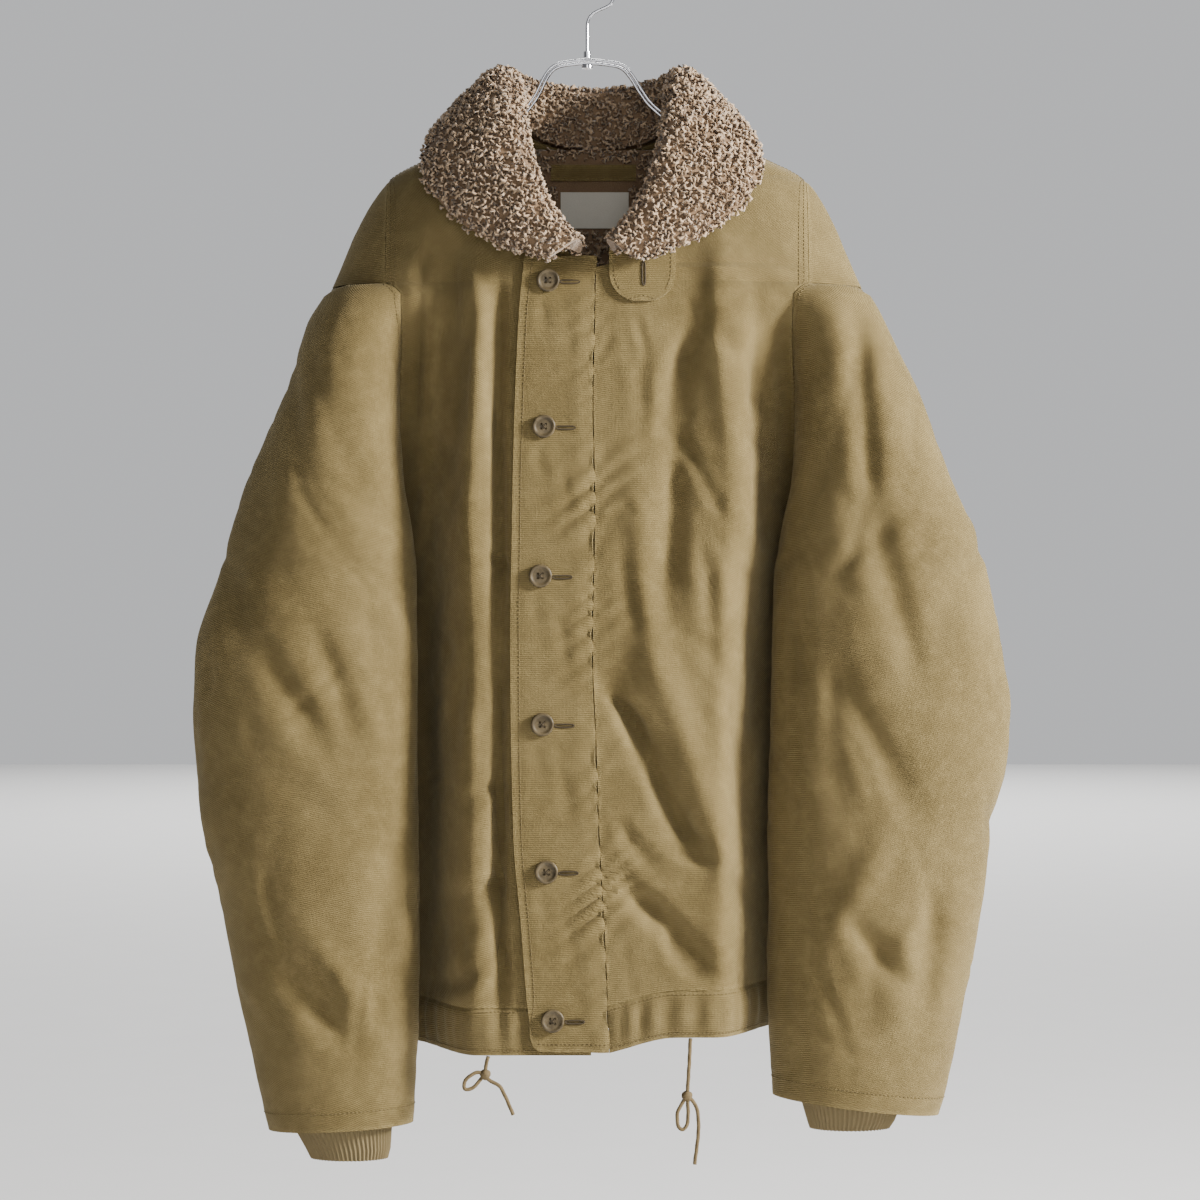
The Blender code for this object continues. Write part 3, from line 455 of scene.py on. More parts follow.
def fold_shift(folds, x, z):
    """How far the folds move a point at (x, z) inward."""
    total = 0.0
    for x_top, z_top, x_bottom, z_bottom, half_width, depth in folds:
        run_x = x_bottom - x_top
        run_z = z_bottom - z_top
        length = math.hypot(run_x, run_z)
        along = ((x - x_top) * run_x + (z - z_top) * run_z) / length
        across = ((x - x_top) * run_z - (z - z_top) * run_x) / length
        taper = smoothstep((along + 25) / 60) * smoothstep((length + 25 - along) / 60)
        total = total + depth * taper * np.exp(-((across / half_width) ** 2))
    return total


def hem_lift(x, z):
    """The wearer's left side of the hem hangs a little higher."""
    return LEFT_HEM_RISE * smoothstep(x / 70) * smoothstep((-700 - z) / 140)


def oval_y(o, z):
    """Front of the full oval section over the shoulders."""
    share = np.minimum(1.0, o / BODY("half_width", z))
    return -BODY("front_depth", z) * np.sqrt(1 - share**4)


def rolled_y(o, z):
    """Front of the body below the armhole's top, rolled back behind the sleeve."""
    depth = BODY("front_depth", z)
    roll_o = FRONT_END("roll_o", z)
    roll_y = FRONT_END("roll_y", z)
    end_o = FRONT_END("end_o", z)
    end_y = FRONT_END("end_y", z)
    rolled = smoothstep((o - roll_o + FRONT_ROLL_WIDTH) / FRONT_ROLL_WIDTH)
    past_roll = np.maximum(0.0, o - roll_o) / max(1.0, end_o - roll_o)
    return -depth + (depth + roll_y) * rolled + (end_y - roll_y) * past_roll


def front_depth_y(o, z):
    """Outer face of the front without its folds."""
    if z > ARMHOLE_FRONT_Z:
        return oval_y(o, z)
    step = oval_y(o, ARMHOLE_FRONT_Z) - rolled_y(o, ARMHOLE_FRONT_Z)
    clear_of_roll = smoothstep((FRONT_END("roll_o", z) - o) / SECTION_BLEND_O)
    return rolled_y(o, z) + step * clear_of_roll * smoothstep((z - ARMHOLE_FRONT_Z) / SECTION_BLEND_Z + 1)


def front_y(x, z):
    """Outer face of the front, folds and all."""
    o = abs(x - GARMENT_MIDDLE_X)
    fade = smoothstep((FRONT_END("roll_o", z) - 10 - o) / 24)
    clear_of_flap = smoothstep((FLAP_HIDES_X - 6 - x) / 12)
    fade = fade * np.where(x < GARMENT_MIDDLE_X, clear_of_flap, 1.0)
    return front_depth_y(o, z) + fade * fold_shift(FRONT_FOLDS, x, z)


def front_end(z):
    """(o, y) of the front panel's outer edge: shoulder line, shoulder seam, armhole seam, side seam."""
    if z > ARMHOLE_TOP_Z:
        o = min(SHOULDER_SEAM_O, BODY("half_width", z))
        return o, front_depth_y(o, z)
    if z > ARMHOLE_FRONT_Z:
        o = ARC("front_o", z)
        return o, front_depth_y(o, z)
    return FRONT_END("end_o", z), FRONT_END("end_y", z)


def back_end(z):
    """(o, y) of the back panel's outer edge. It starts on the front of the shoulder cap."""
    if z >= ARMHOLE_TOP_Z:
        return front_end(z)
    if z > ARMHOLE_FRONT_Z:
        o = ARC("outer_o", z)
        return o, front_depth_y(o, z)
    return BACK_END("end_o", z), BACK_END("end_y", z)


def resample(path, count):
    """The path with count points, evenly spaced along it."""
    path = np.array(path, float)
    length = np.concatenate([[0], np.cumsum(np.linalg.norm(np.diff(path, axis=0), axis=1))])
    at = np.linspace(0, length[-1], count)
    return np.stack([np.interp(at, length, path[:, axis]) for axis in range(path.shape[1])], axis=1)


def levels(*stops):
    """Heights between named levels, from (height, steps down to the next) pairs."""
    found = []
    for (top, steps), (bottom, _) in zip(stops, stops[1:]):
        found += list(np.linspace(top, bottom, steps, endpoint=False))
    return found + [stops[-1][0]]


ARC_LEVELS = [-268.5, -271.0, ARMHOLE_FRONT_Z, -285.0]
UPPER_LEVELS = (
    levels((NECK_POINT_Z, 3), (PEAK_Z, 4), (ARMHOLE_TOP_Z, 0))
    + ARC_LEVELS
    + levels((ARMHOLE_OUTER_Z, 6), (UNDERARM_Z, 0))
)
BODY_LEVELS = UPPER_LEVELS + levels((UNDERARM_Z, 8), (CASING_SEAM_Z, 0))[1:]


class Patch:
    """A cut piece as a surface, before it gets its thickness. Its faces turn outward."""

    def __init__(self, rows, closed_from=None, flip=False):
        count = len(rows[0])
        index = np.arange(len(rows) * count).reshape(len(rows), count)
        if closed_from is not None:
            index[closed_from:, -1] = index[closed_from:, 0]
        quads = []
        for r in range(len(rows) - 1):
            for c in range(count - 1):
                quad = [index[r, c], index[r + 1, c], index[r + 1, c + 1], index[r, c + 1]]
                quads.append(quad[::-1] if flip else quad)
        points = np.concatenate([np.array(row, float) for row in rows])
        used, renamed = np.unique(np.array(quads), return_inverse=True)
        self.points = points[used]
        self.used = used
        self.quads = renamed.reshape(-1, 4)
        self.thinned = np.ones(len(self.points))
        self.find_edges()
        self.find_normals()

    def find_edges(self):
        ends = {}
        for quad in self.quads:
            for a, b in zip(quad, np.roll(quad, -1)):
                if a != b:
                    ends[(a, b)] = ends.get((a, b), 0) + 1
        self.border = [(a, b) for a, b in ends if (b, a) not in ends]

    def find_normals(self):
        corners = self.points[self.quads]
        across = np.cross(corners[:, 2] - corners[:, 0], corners[:, 3] - corners[:, 1])
        self.normals = np.zeros_like(self.points)
        for column in range(4):
            np.add.at(self.normals, self.quads[:, column], across)
        self.normals /= np.linalg.norm(self.normals, axis=1, keepdims=True) + 1e-12

    def draw_in(self, distance):
        """Moves the border into the piece, which leaves the gap of a seam."""
        inward = np.zeros_like(self.points)
        for a, b in self.border:
            edge = self.points[b] - self.points[a]
            edge = edge / (np.linalg.norm(edge) + 1e-12)
            for end in (a, b):
                inward[end] += np.cross(self.normals[end], edge)
        length = np.linalg.norm(inward, axis=1, keepdims=True)
        moved = length[:, 0] > 1e-6
        self.points[moved] += distance * (inward / (length + 1e-12))[moved]

    def wall(self, thickness, outward=0.0):
        """(points, faces) of the closed wall, its outer face moved outward by that much."""
        outer = self.points + self.normals * outward
        inner = outer - self.normals * thickness * self.thinned[:, None]
        count = len(outer)
        faces = [tuple(quad) for quad in self.quads]
        faces += [tuple(np.array(quad[::-1]) + count) for quad in self.quads]
        faces += [(b, a, a + count, b + count) for a, b in self.border]
        return np.concatenate([outer, inner]), faces


def sew(patches):
    """Where borders meet, the pieces share one normal, thinner at a sharp corner, and each draws in."""
    shared = {}
    for patch in patches:
        for vertex in {end for edge in patch.border for end in edge}:
            key = tuple(np.round(patch.points[vertex] / 0.05).astype(int))
            shared.setdefault(key, []).append((patch, vertex))
    for meeting in shared.values():
        total = sum(patch.normals[vertex] for patch, vertex in meeting)
        agreement = np.linalg.norm(total) / len(meeting)
        total = total / (np.linalg.norm(total) + 1e-12)
        for patch, vertex in meeting:
            patch.normals[vertex] = total
            patch.thinned[vertex] = smoothstep(agreement) if len(meeting) > 1 else 1.0
    for patch in patches:
        patch.draw_in(HALF_SEAM_GAP)


def place(side, path, z):
    """Points (o, y) at one height, or with heights of their own, as (x, y, z) on that side."""
    heights = np.full(len(path), z) if np.isscalar(z) else np.array(z)
    x = GARMENT_MIDDLE_X + side * path[:, 0]
    return np.stack([x, path[:, 1], heights + hem_lift(x, heights)], axis=1)


def front_inner_x(side, z):
    """The fronts start at the neckline, and below it under or beside the wind flap."""
    if z > FLAP_TOP_Z:
        return GARMENT_MIDDLE_X + side * NECKLINE("o", z)
    if side == WEARER_RIGHT:
        return min(FLAP("sewn_x", z) - 14, GARMENT_MIDDLE_X - NECKLINE("o", FLAP_TOP_Z) + (FLAP_TOP_Z - z))
    return FLAP("sewn_x", z) if z < FLAP_TOP_Z - 6 else GARMENT_MIDDLE_X + NECKLINE("o", z)


def flap_step(side, x):
    """The wearer's left front comes level with the wind flap that is sewn to it."""
    if side == WEARER_RIGHT:
        return 0.0
    return -(CLOTH + LAYER_GAP - 1.0) * smoothstep((95 - x) / 75)


def front_row(side, z, count):
    """One level of a front, from its inner edge to its outer edge."""
    inner_x = front_inner_x(side, z)
    end_o, end_y = front_end(z)
    start_o = side * (inner_x - GARMENT_MIDDLE_X)
    o = np.linspace(start_o, end_o, FRONT_SAMPLES)
    x = GARMENT_MIDDLE_X + side * o
    path = np.stack([o, front_y(x, z) + flap_step(side, x)], axis=1)
    path[-1] = (end_o, end_y)
    return place(side, resample(path, count), z)


def eased_columns(points, count):
    """Points along a half row: even near the middle of the back, and drifting only towards its end."""
    points = np.array(points, float)
    run = np.concatenate([[0], np.cumsum(np.linalg.norm(np.diff(points, axis=0), axis=1))])
    u = np.linspace(1, 0, count)
    even = min(BACK_EVEN_REACH, BACK_EVEN_SHARE * run[-1])
    from_end = run[-1] - even * u - (run[-1] - even) * u**3
    return np.stack([np.interp(from_end, run, points[:, axis]) for axis in (0, 1)], axis=1)


def back_row(z, count):
    """One level of the back, from the wearer's right to the wearer's left over the middle."""
    half = []
    end_o, end_y = back_end(z)
    depth = BODY("back_depth", z)
    width = BODY("half_width", z)
    if end_y < 0:
        turn = math.asin(min(1.0, -end_y / BODY("front_depth", z)))
        for angle in np.linspace(-turn, 0, BACK_SAMPLES // 4, endpoint=False):
            half.append((width * math.sqrt(math.cos(angle)), BODY("front_depth", z) * math.sin(angle)))
        half[0] = (end_o, end_y)
        end_o = width
        end_y = 0.0
    for o in end_o * np.cos(np.linspace(0, math.pi / 2, BACK_SAMPLES)) ** 0.5:
        half.append((o, end_y + (depth - end_y) * math.sqrt(max(0.0, 1 - (o / end_o) ** 4))))
    half = eased_columns(half, count // 2 + 1)
    sides = []
    for side in (WEARER_RIGHT, WEARER_LEFT):
        o = half[:, 0]
        sag = (BACK_NECK_Z - NECK_POINT_Z) * max(0.0, (z - BACK_LEVEL_Z) / (NECK_POINT_Z - BACK_LEVEL_Z))
        heights = z + sag * (1 - (o / o.max()) ** 2) * (np.arange(len(o)) > 0)
        points = place(side, half, heights)
        x = points[:, 0]
        inside = smoothstep((o[0] - o) / 30) * smoothstep(points[:, 1] / 20)
        points[:, 1] -= inside * fold_shift(BACK_FOLDS, x, points[:, 2])
        sides.append(points)
    return np.concatenate([sides[0], sides[1][-2::-1]])


def sleeve_angle(side, z, o, y):
    """The angle round the sleeve at (o, y): 0 faces the body, and a quarter turn faces forward."""
    inner = SLEEVE(SIDE_NAMES[side] + "_inner", z)
    outer = SLEEVE(SIDE_NAMES[side] + "_outer", z)
    middle = (inner + outer) / 2
    half = (outer - inner) / 2
    across = (middle - o) / half
    forward = (SLEEVE("middle_y", z) - y) / SLEEVE("half_depth", z)
    return math.atan2(forward, across)


def sleeve_point(side, z, angle):
    inner = SLEEVE(SIDE_NAMES[side] + "_inner", z)
    outer = SLEEVE(SIDE_NAMES[side] + "_outer", z)
    o = (inner + outer) / 2 - (outer - inner) / 2 * np.cos(angle)
    y = SLEEVE("middle_y", z) - SLEEVE("half_depth", z) * np.sin(angle)
    facing = np.where(np.sin(angle) > 0, -1, 1)
    weight = np.minimum(1.0, 2.5 * np.abs(np.sin(angle)))
    for face in (-1, 1):
        folds = [row[:6] for row in SLEEVE_FOLDS[side] if row[6] == face]
        y = y - face * (facing == face) * weight * fold_shift(folds, o, z)
    return np.stack([o, y], axis=-1)


def sleeve_row(side, z, count):
    """One level of a sleeve, from the front of the armhole round the outside to its back."""
    hem = SLEEVE_HEM_Z[side]
    if z <= UNDERARM_Z:
        under = sleeve_angle(side, UNDERARM_Z, *front_end(UNDERARM_Z))
        start = under + (SLEEVE_SEAM_ANGLE - under) * smoothstep((UNDERARM_Z - z) / SLEEVE_SEAM_DRIFT)
        turn = 2 * math.pi
    else:
        start = sleeve_angle(side, z, *front_end(z))
        finish = sleeve_angle(side, z, *back_end(z))
        finish += 2 * math.pi * (finish < start)
        turn = finish - start
    t = np.linspace(0, 1, SLEEVE_SAMPLES)[:, None]
    path = sleeve_point(side, z, start + turn * t[:, 0])
    pull = smoothstep((z - UNDERARM_Z + 60) / 60)
    first = np.array(front_end(max(z, UNDERARM_Z))) - path[0]
    last = np.array(back_end(max(z, UNDERARM_Z))) - path[-1]
    path = path + pull * ((1 - t) ** 5 * first + t**5 * last)
    path = resample(path, count)
    inner = SLEEVE(SIDE_NAMES[side] + "_inner", z)
    outer = SLEEVE(SIDE_NAMES[side] + "_outer", z)
    slope = SLEEVE_HEM_TILT[side] * smoothstep((hem + 200 - z) / 200)
    heights = z - slope * (2 * path[:, 0] - inner - outer) / (outer - inner)
    x = GARMENT_MIDDLE_X + side * path[:, 0]
    return np.stack([x, path[:, 1], heights], axis=1)


def sleeve_levels(side):
    upper = [z for z in UPPER_LEVELS if z <= ARMHOLE_TOP_Z]
    return upper + levels((UNDERARM_Z, 12), (SLEEVE_HEM_Z[side], 0))[1:]


def flap_rows():
    """The wind flap from its free edge to its sewn edge, level by level, with a round lower corner."""
    rows = []
    for z in levels((FLAP_TOP_Z, 210), (FLAP_BOTTOM_Z, 0)):
        free_x = FLAP("free_x", z)
        sewn_x = FLAP("sewn_x", z) - 2 * HALF_SEAM_GAP
        row = []
        for t in np.linspace(0, 1, 24):
            x = free_x + (sewn_x - free_x) * t
            past_corner = max(0.0, 1 - (x - free_x) / FLAP_CORNER)
            corner = FLAP_CORNER * (1 - math.sqrt(1 - past_corner**2))
            near_bottom = smoothstep((FLAP_BOTTOM_Z + 60 - z) / 60)
            height = z + corner * near_bottom
            row.append((x, front_y(x, height), height))
        rows.append(row)
    return rows


def tab_rows():
    """The chin tab, a rounded D on the wearer's left front."""
    rows = []
    for t in np.linspace(0.0, 1.0, 28):
        z = TAB_TOP_Z + (TAB_BOTTOM_Z - TAB_TOP_Z) * t
        bow = math.sqrt(max(0.0, 1 - max(0.0, (t - 0.45) / 0.57) ** 2.4))
        half = TAB_HALF_WIDTH * bow
        row = []
        for u in np.linspace(-1, 1, 28):
            x = TAB_MIDDLE_X + u * half
            row.append((x, front_y(x, z) + flap_step(WEARER_LEFT, x), z))
        rows.append(row)
    return rows


def lining_rows():
    """The pile lining inside the back neck, from the neck seam down."""
    rows = []
    for z in levels((LINING_TOP_Z, 40), (LINING_BOTTOM_Z, 0)):
        half_width = LINING("half_width", z)
        row = []
        for x in np.linspace(-half_width, half_width, 44):
            row.append((GARMENT_MIDDLE_X + x, back_inside_y(x, z), z))
        rows.append(row)
    return rows


def back_inside_y(o, z):
    """The inner face of the back near its middle."""
    level = z
    if z > BACK_LEVEL_Z:
        sagged = (z - BACK_LEVEL_Z) / (BACK_NECK_Z - BACK_LEVEL_Z)
        level = BACK_LEVEL_Z + sagged * (NECK_POINT_Z - BACK_LEVEL_Z)
    depth = BODY("back_depth", level)
    width = BACK_END("end_o", level) if level < ARMHOLE_FRONT_Z else BODY("half_width", level)
    end_y = BACK_END("end_y", level) if level < ARMHOLE_FRONT_Z else 0.0
    y = end_y + (depth - end_y) * math.sqrt(1 - min(1.0, abs(o) / width) ** 4)
    return y - CLOTH - LINING_GAP - fold_shift(BACK_FOLDS, GARMENT_MIDDLE_X + o, z)


def strip_rows(x_low, x_high, z_top, z_bottom, steps, columns, y_of):
    rows = []
    for z in np.linspace(z_top, z_bottom, steps):
        rows.append([(x, y_of(x, z), z) for x in np.linspace(x_low, x_high, columns)])
    return rows


def smooth_route(points, spacing):
    """A smooth curve through the route's own points, read at even steps."""
    points = np.array(points, float)
    ends = np.concatenate([[2 * points[0] - points[1]], points, [2 * points[-1] - points[-2]]])
    path = []
    for i in range(1, len(ends) - 2):
        before, start, end, after = ends[i - 1 : i + 3]
        for t in np.linspace(0, 1, 12, endpoint=False):
            path.append(
                0.5
                * (
                    2 * start
                    + (end - before) * t
                    + (2 * before - 5 * start + 4 * end - after) * t**2
                    + (3 * start - before - 3 * end + after) * t**3
                )
            )
    path.append(points[-1])
    length = np.linalg.norm(np.diff(path, axis=0), axis=1).sum()
    return resample(path, max(3, round(length / spacing) + 1))


def turned(profile, steps, axis_at):
    """A closed shape turned round an axis along Y, from (radius, y) pairs that start and end on the axis."""
    points = []
    faces = []
    rings = []
    for radius, y in profile:
        if radius == 0:
            rings.append([len(points)])
            points.append((axis_at[0], axis_at[1] + y, axis_at[2]))
            continue
        ring = []
        for k in range(steps):
            angle = 2 * math.pi * k / steps
            ring.append(len(points))
            x = axis_at[0] + radius * math.cos(angle)
            z = axis_at[2] + radius * math.sin(angle)
            points.append((x, axis_at[1] + y, z))
        rings.append(ring)
    for low, high in zip(rings, rings[1:]):
        for k in range(steps):
            a = low[k % len(low)]
            b = low[(k + 1) % len(low)]
            c = high[(k + 1) % len(high)]
            d = high[k % len(high)]
            corners = [a, b, c, d]
            faces.append(tuple(dict.fromkeys(corners)))
    return points, faces


def swept(sections):
    """(points, faces) of a closed shape through rings of the same count, with flat ends."""
    count = len(sections[0])
    points = np.concatenate([np.array(section, float) for section in sections])
    faces = [tuple(range(count))[::-1]]
    for r in range(len(sections) - 1):
        for c in range(count):
            a = r * count + c
            b = r * count + (c + 1) % count
            faces.append((a, b, b + count, a + count))
    last = (len(sections) - 1) * count
    faces.append(tuple(range(last, last + count)))
    return points, faces


def collar_station(t):
    """The collar's neck edge, roll and fall edge at t, from the left front end (-1) over the back (0)."""
    side = WEARER_LEFT if t > 0 else WEARER_RIGHT
    key = abs(t)
    found = []
    for guide in ("neck", "roll", "fall"):
        o = COLLAR(guide + "_o", key)
        middle = GARMENT_MIDDLE_X if guide == "neck" else COLLAR_MIDDLE_X
        found.append((middle + side * o, COLLAR(guide + "_y", key), COLLAR(guide + "_z", key)))
    return np.array(found)


def collar_section(t):
    """A ring round the folded pile wall at t: out over its face and back along its underside."""
    neck, roll, fall = collar_station(t)
    spine = []
    for s in np.linspace(0, 1, COLLAR_STEPS):
        lift = math.sin(math.pi * s)
        base = neck + (fall - neck) * s
        spine.append(base + (roll - (neck + fall) / 2) * lift)
    spine = resample(spine, COLLAR_STEPS)
    along = collar_station(t + 0.01)[1] - collar_station(t - 0.01)[1]
    ring_face = []
    ring_under = []
    for k, point in enumerate(spine):
        run = spine[min(k + 1, len(spine) - 1)] - spine[max(k - 1, 0)]
        out = np.cross(along, run)
        out = out / np.linalg.norm(out)
        end = min(k, len(spine) - 1 - k)
        half = COLLAR_THICK / 2 * np.interp(end, (0, 1, 2, 4, 6), (0.08, 0.42, 0.68, 0.92, 1.0))
        ring_face.append(point + out * half)
        ring_under.append(point - out * half)
    return ring_under + ring_face[::-1]


def cuff_rows(side):
    """The knit cuff: sewn round the inside of the sleeve, drawn in where it comes out below."""
    rows = []
    for z, middle_o, half_o, half_y in CUFF[side]:
        row = []
        top = z == CUFF[side][0][0]
        inner = SLEEVE(SIDE_NAMES[side] + "_inner", z)
        outer = SLEEVE(SIDE_NAMES[side] + "_outer", z)
        if top:
            middle_o = (inner + outer) / 2
            half_o = (outer - inner) / 2 - CLOTH - CUFF_CLEARANCE
            half_y = SLEEVE("half_depth", z) - CLOTH - CUFF_CLEARANCE
        for angle in np.linspace(0, 2 * math.pi, CUFF_COLUMNS + 1):
            o = middle_o - half_o * math.cos(angle)
            y = SLEEVE("middle_y", z) - half_y * math.sin(angle)
            row.append((GARMENT_MIDDLE_X + side * o, y, z))
        rows.append(row)
    return rows


def ridge_z(o):
    """The shoulder line's height at o."""
    rows = BODY.rows[:4]
    return float(np.interp(o, rows[:, 1], rows[:, 0]))


def hanger_route():
    """The double wire as one closed loop: out along the upper wire and back along the lower one."""
    upper = []
    for side in (WEARER_RIGHT, WEARER_LEFT):
        scale = 1 if side == WEARER_LEFT else HANGER_LEFT_SCALE
        lower = 0 if side == WEARER_LEFT else HANGER_LEFT_DROP
        half = [(side * x * scale, z - lower * smoothstep((x - 36) / 12)) for x, z in HANGER_YOKE]
        for o in np.linspace(HANGER_SHOULDER_O, HANGER_END_O, 5):
            half.append((GARMENT_MIDDLE_X + side * o, ridge_z(o) - CLOTH - HANGER_DROP))
        upper.append(half)
    line = upper[0][::-1] + upper[1][1:]
    line = smooth_route([(x, 0, z) for x, z in line], HANGER_SPACING)
    along = np.gradient(line, axis=0)
    along /= np.linalg.norm(along, axis=1, keepdims=True)
    across = np.stack([along[:, 2], np.zeros(len(line)), -along[:, 0]], axis=1)
    apart = (HANGER_WIRE + LAYER_GAP) / 2
    top = line - across * apart
    bottom = line + across * apart
    right_cap = line[-1] + along[-1] * 2.2
    left_cap = line[0] - along[0] * 2.2
    return list(top) + [right_cap] + list(bottom[::-1]) + [left_cap]


def hook_route():
    """The hook from the ferrule up the stem and over the rail, to its tip."""
    radius = HOOK_INSIDE + HOOK_WIRE / 2
    points = [(0, 0, HOOK_FOOT_Z), (0, 0, HOOK_FOOT_Z + 13), (0.5, 0, -50), (5, 0, -43.5)]
    for degrees in range(-40, 206, 15):
        angle = math.radians(degrees)
        points.append((radius * math.cos(angle), 0, -HOOK_INSIDE + radius * math.sin(angle)))
    return smooth_route(points, 6.0)


def cylinder_up(radius, z_low, z_high, steps):
    rings = []
    for z in (z_low, z_high):
        rings.append([
            (radius * math.cos(a), radius * math.sin(a), z)
            for a in np.linspace(0, 2 * math.pi, steps, endpoint=False)
        ])
    return swept(rings)


# Camera, look and finish
CAMERA_AT = (10.4, -2640, -520)
CAMERA_LENS = 97.5
CANVAS_DARK = (0.118, 0.084, 0.027)
CANVAS_MIDDLE = (0.178, 0.131, 0.050)
CANVAS_LIGHT = (0.262, 0.198, 0.082)
RIB_PITCH = 0.0016
WARP_PITCH = 0.0011
# The deepest pile colour and the shade colour are painted shade at the curls' roots and on the bare base; the
# tip colour is a painted highlight.
PILE_ROOT_SHADE = (0.18, 0.115, 0.065)
PILE_SHADE = (0.22, 0.145, 0.085)
PILE_MIDDLE = (0.37, 0.255, 0.155)
PILE_TIP_HIGHLIGHT = (0.54, 0.395, 0.255)
BUTTON_DARK = (0.050, 0.036, 0.016)
BUTTON_LIGHT = (0.095, 0.070, 0.034)
PUCKER_REACH = 15.0
CURL_SIZE = 4.8
STITCH_PITCH = 3.3
STITCH_LIFT = 0.12
CASING_STITCH_LIFT = 0.5
HEM_STITCH = 15.0
TRIM_STITCH = 4.0
GRID_STEP = 3.6
SLEEVE_STEP = 4.2
COLLAR_CURL_DENSITY = 130000.0
LINING_CURL_DENSITY = 105000.0
FLOOR_Z = -1260.0
FLOOR_REACH = 12.0
LIGHTS_AIM = (10, 0, -520)
WORLD_FRONT = 0.26
WORLD_BEHIND = 0.68
LIGHTS = (
    # name, place, size in metres, watts, colour
    ("key", (2500, -950, 420), 0.7, 300, (1.0, 0.97, 0.93)),
    ("fill", (300, -3200, 300), 1.4, 22, (0.97, 0.98, 1.0)),
    ("behind", (600, 10500, 4600), 4.0, 1000, (1.0, 0.99, 0.97)),
)

# Creases finer than the solids': a trough has a positive depth
FRONT_CREASE_GAIN = 1.5
SLEEVE_CREASE_GAIN = 0.9
SLEEVE_CREASE_WIDENING = 1.45
FRONT_CREASES = {
    WEARER_RIGHT: (
        # x_top, z_top, x_bottom, z_bottom, half_width, depth, bend
        (-122, -225, -136, -400, 7, 3.2, 6),
        (-106, -232, -112, -470, 8, 3.0, -5),
        (-84, -250, -98, -420, 6, 1.8, 4),
        (-74, -330, -70, -560, 5, 2.2, -3),
        (-66, -560, -66, -860, 5, 3.0, 3),
        (-64, -664, -103, -690, 6, 2.2, 4),
        (-62, -742, -110, -768, 7, 3.0, 6),
        (-70, -790, -128, -838, 7, 2.6, -7),
        (-130, -500, -108, -720, 9, 2.4, 8),
        (-140, -560, -128, -800, 7, 2.0, -5),
        (-92, -560, -104, -660, 6, 1.6, 5),
    ),
    WEARER_LEFT: (
        (84, -300, 66, -420, 8, 3.0, 5),
        (66, -400, 62, -520, 7, 2.2, -4),
        (104, -230, 118, -420, 8, -1.8, 8),
        (136, -290, 146, -500, 7, 3.0, 4),
        (17, -590, 50, -648, 6, 3.4, -4),
        (50, -645, 90, -722, 7, 3.4, 6),
        (30, -752, 62, -776, 7, 3.0, -3),
        (62, -776, 104, -830, 7, 3.2, 4),
        (24, -690, 64, -742, 6, 1.8, 3),
        (108, -560, 124, -760, 8, 2.2, -6),
        (30, -470, 44, -560, 6, 1.4, 4),
        (90, -470, 100, -600, 7, 1.8, -5),
    ),
}
BACK_CREASES = (
    (-140, -300, -120, -520, 8, 2.6, 7),
    (-96, -250, -84, -450, 8, 2.4, -6),
    (-30, -330, -20, -560, 8, 2.2, 8),
    (10, -560, -10, -840, 8, 2.4, -6),
    (52, -280, 60, -470, 8, 2.6, 6),
    (90, -500, 84, -800, 8, 2.4, 8),
    (140, -330, 120, -600, 8, 2.4, -7),
    (-90, -620, -70, -840, 8, 2.6, 5),
    (-150, -600, -60, -720, 8, 2.6, -6),
    (160, -620, 60, -700, 8, 2.4, 7),
)
SLEEVE_CREASES = {
    WEARER_RIGHT: (
        # around_top, z_top, around_bottom, z_bottom, half_width, depth, bend; around starts at the front edge
        (150, -520, 96, -610, 8, 3.2, 8),
        (188, -590, 110, -650, 8, 3.0, -6),
        (196, -660, 128, -700, 7, 2.4, 6),
        (120, -330, 150, -520, 9, 2.6, 8),
        (92, -300, 76, -480, 8, 2.2, -6),
        (70, -560, 60, -760, 8, 2.4, 6),
        (104, -740, 64, -872, 9, 2.0, 6),
        (190, -700, 176, -880, 8, 1.6, 5),
        (300, -420, 220, -600, 9, 3.0, 8),
        (330, -620, 240, -760, 9, 3.0, -8),
        (320, -760, 260, -880, 9, 3.0, 6),
    ),
    WEARER_LEFT: (
        (74, -300, 80, -480, 8, 3.0, 7),
        (80, -470, 116, -620, 8, 3.0, -8),
        (60, -620, 110, -700, 7, 2.4, 6),
        (130, -330, 150, -560, 8, 2.2, -6),
        (150, -560, 130, -700, 8, 2.6, 6),
        (40, -740, 66, -872, 8, 1.6, -4),
        (170, -760, 140, -880, 8, 3.0, 6),
        (300, -420, 220, -600, 9, 3.0, 8),
        (330, -600, 230, -740, 9, 3.0, -8),
        (320, -760, 250, -870, 9, 2.8, 6),
    ),
}

# Light scattered creases
LIGHT_CREASES = {
    # seed, count, x_low, x_high, z_low, z_high, lean, depth
    WEARER_RIGHT: (11, 34, -135, -64, -860, -220, -0.15, 1.6),
    WEARER_LEFT: (12, 42, 20, 140, -860, -220, 0.5, 1.6),
}
BACK_LIGHT_CREASES = (13, 36, -170, 180, -860, -240, 0.0, 1.6)
SLEEVE_LIGHT_CREASES = {
    # the same, read round the sleeve
    WEARER_RIGHT: (16, 74, 10, 430, -850, -300, -0.45, 1.35),
    WEARER_LEFT: (18, 74, 10, 430, -850, -300, 0.45, 1.35),
}


def add_camera():
    """The camera at the photo's angle: level, square to the front, the hook just cut by the frame's top."""
    data = bpy.data.cameras.new("camera")
    data.sensor_width = 36
    data.lens = CAMERA_LENS
    camera = bpy.data.objects.new("camera", data)
    camera.location = Vector(CAMERA_AT) * MM
    camera.rotation_euler = (math.pi / 2, 0, 0)
    bpy.context.scene.collection.objects.link(camera)
    bpy.context.scene.camera = camera


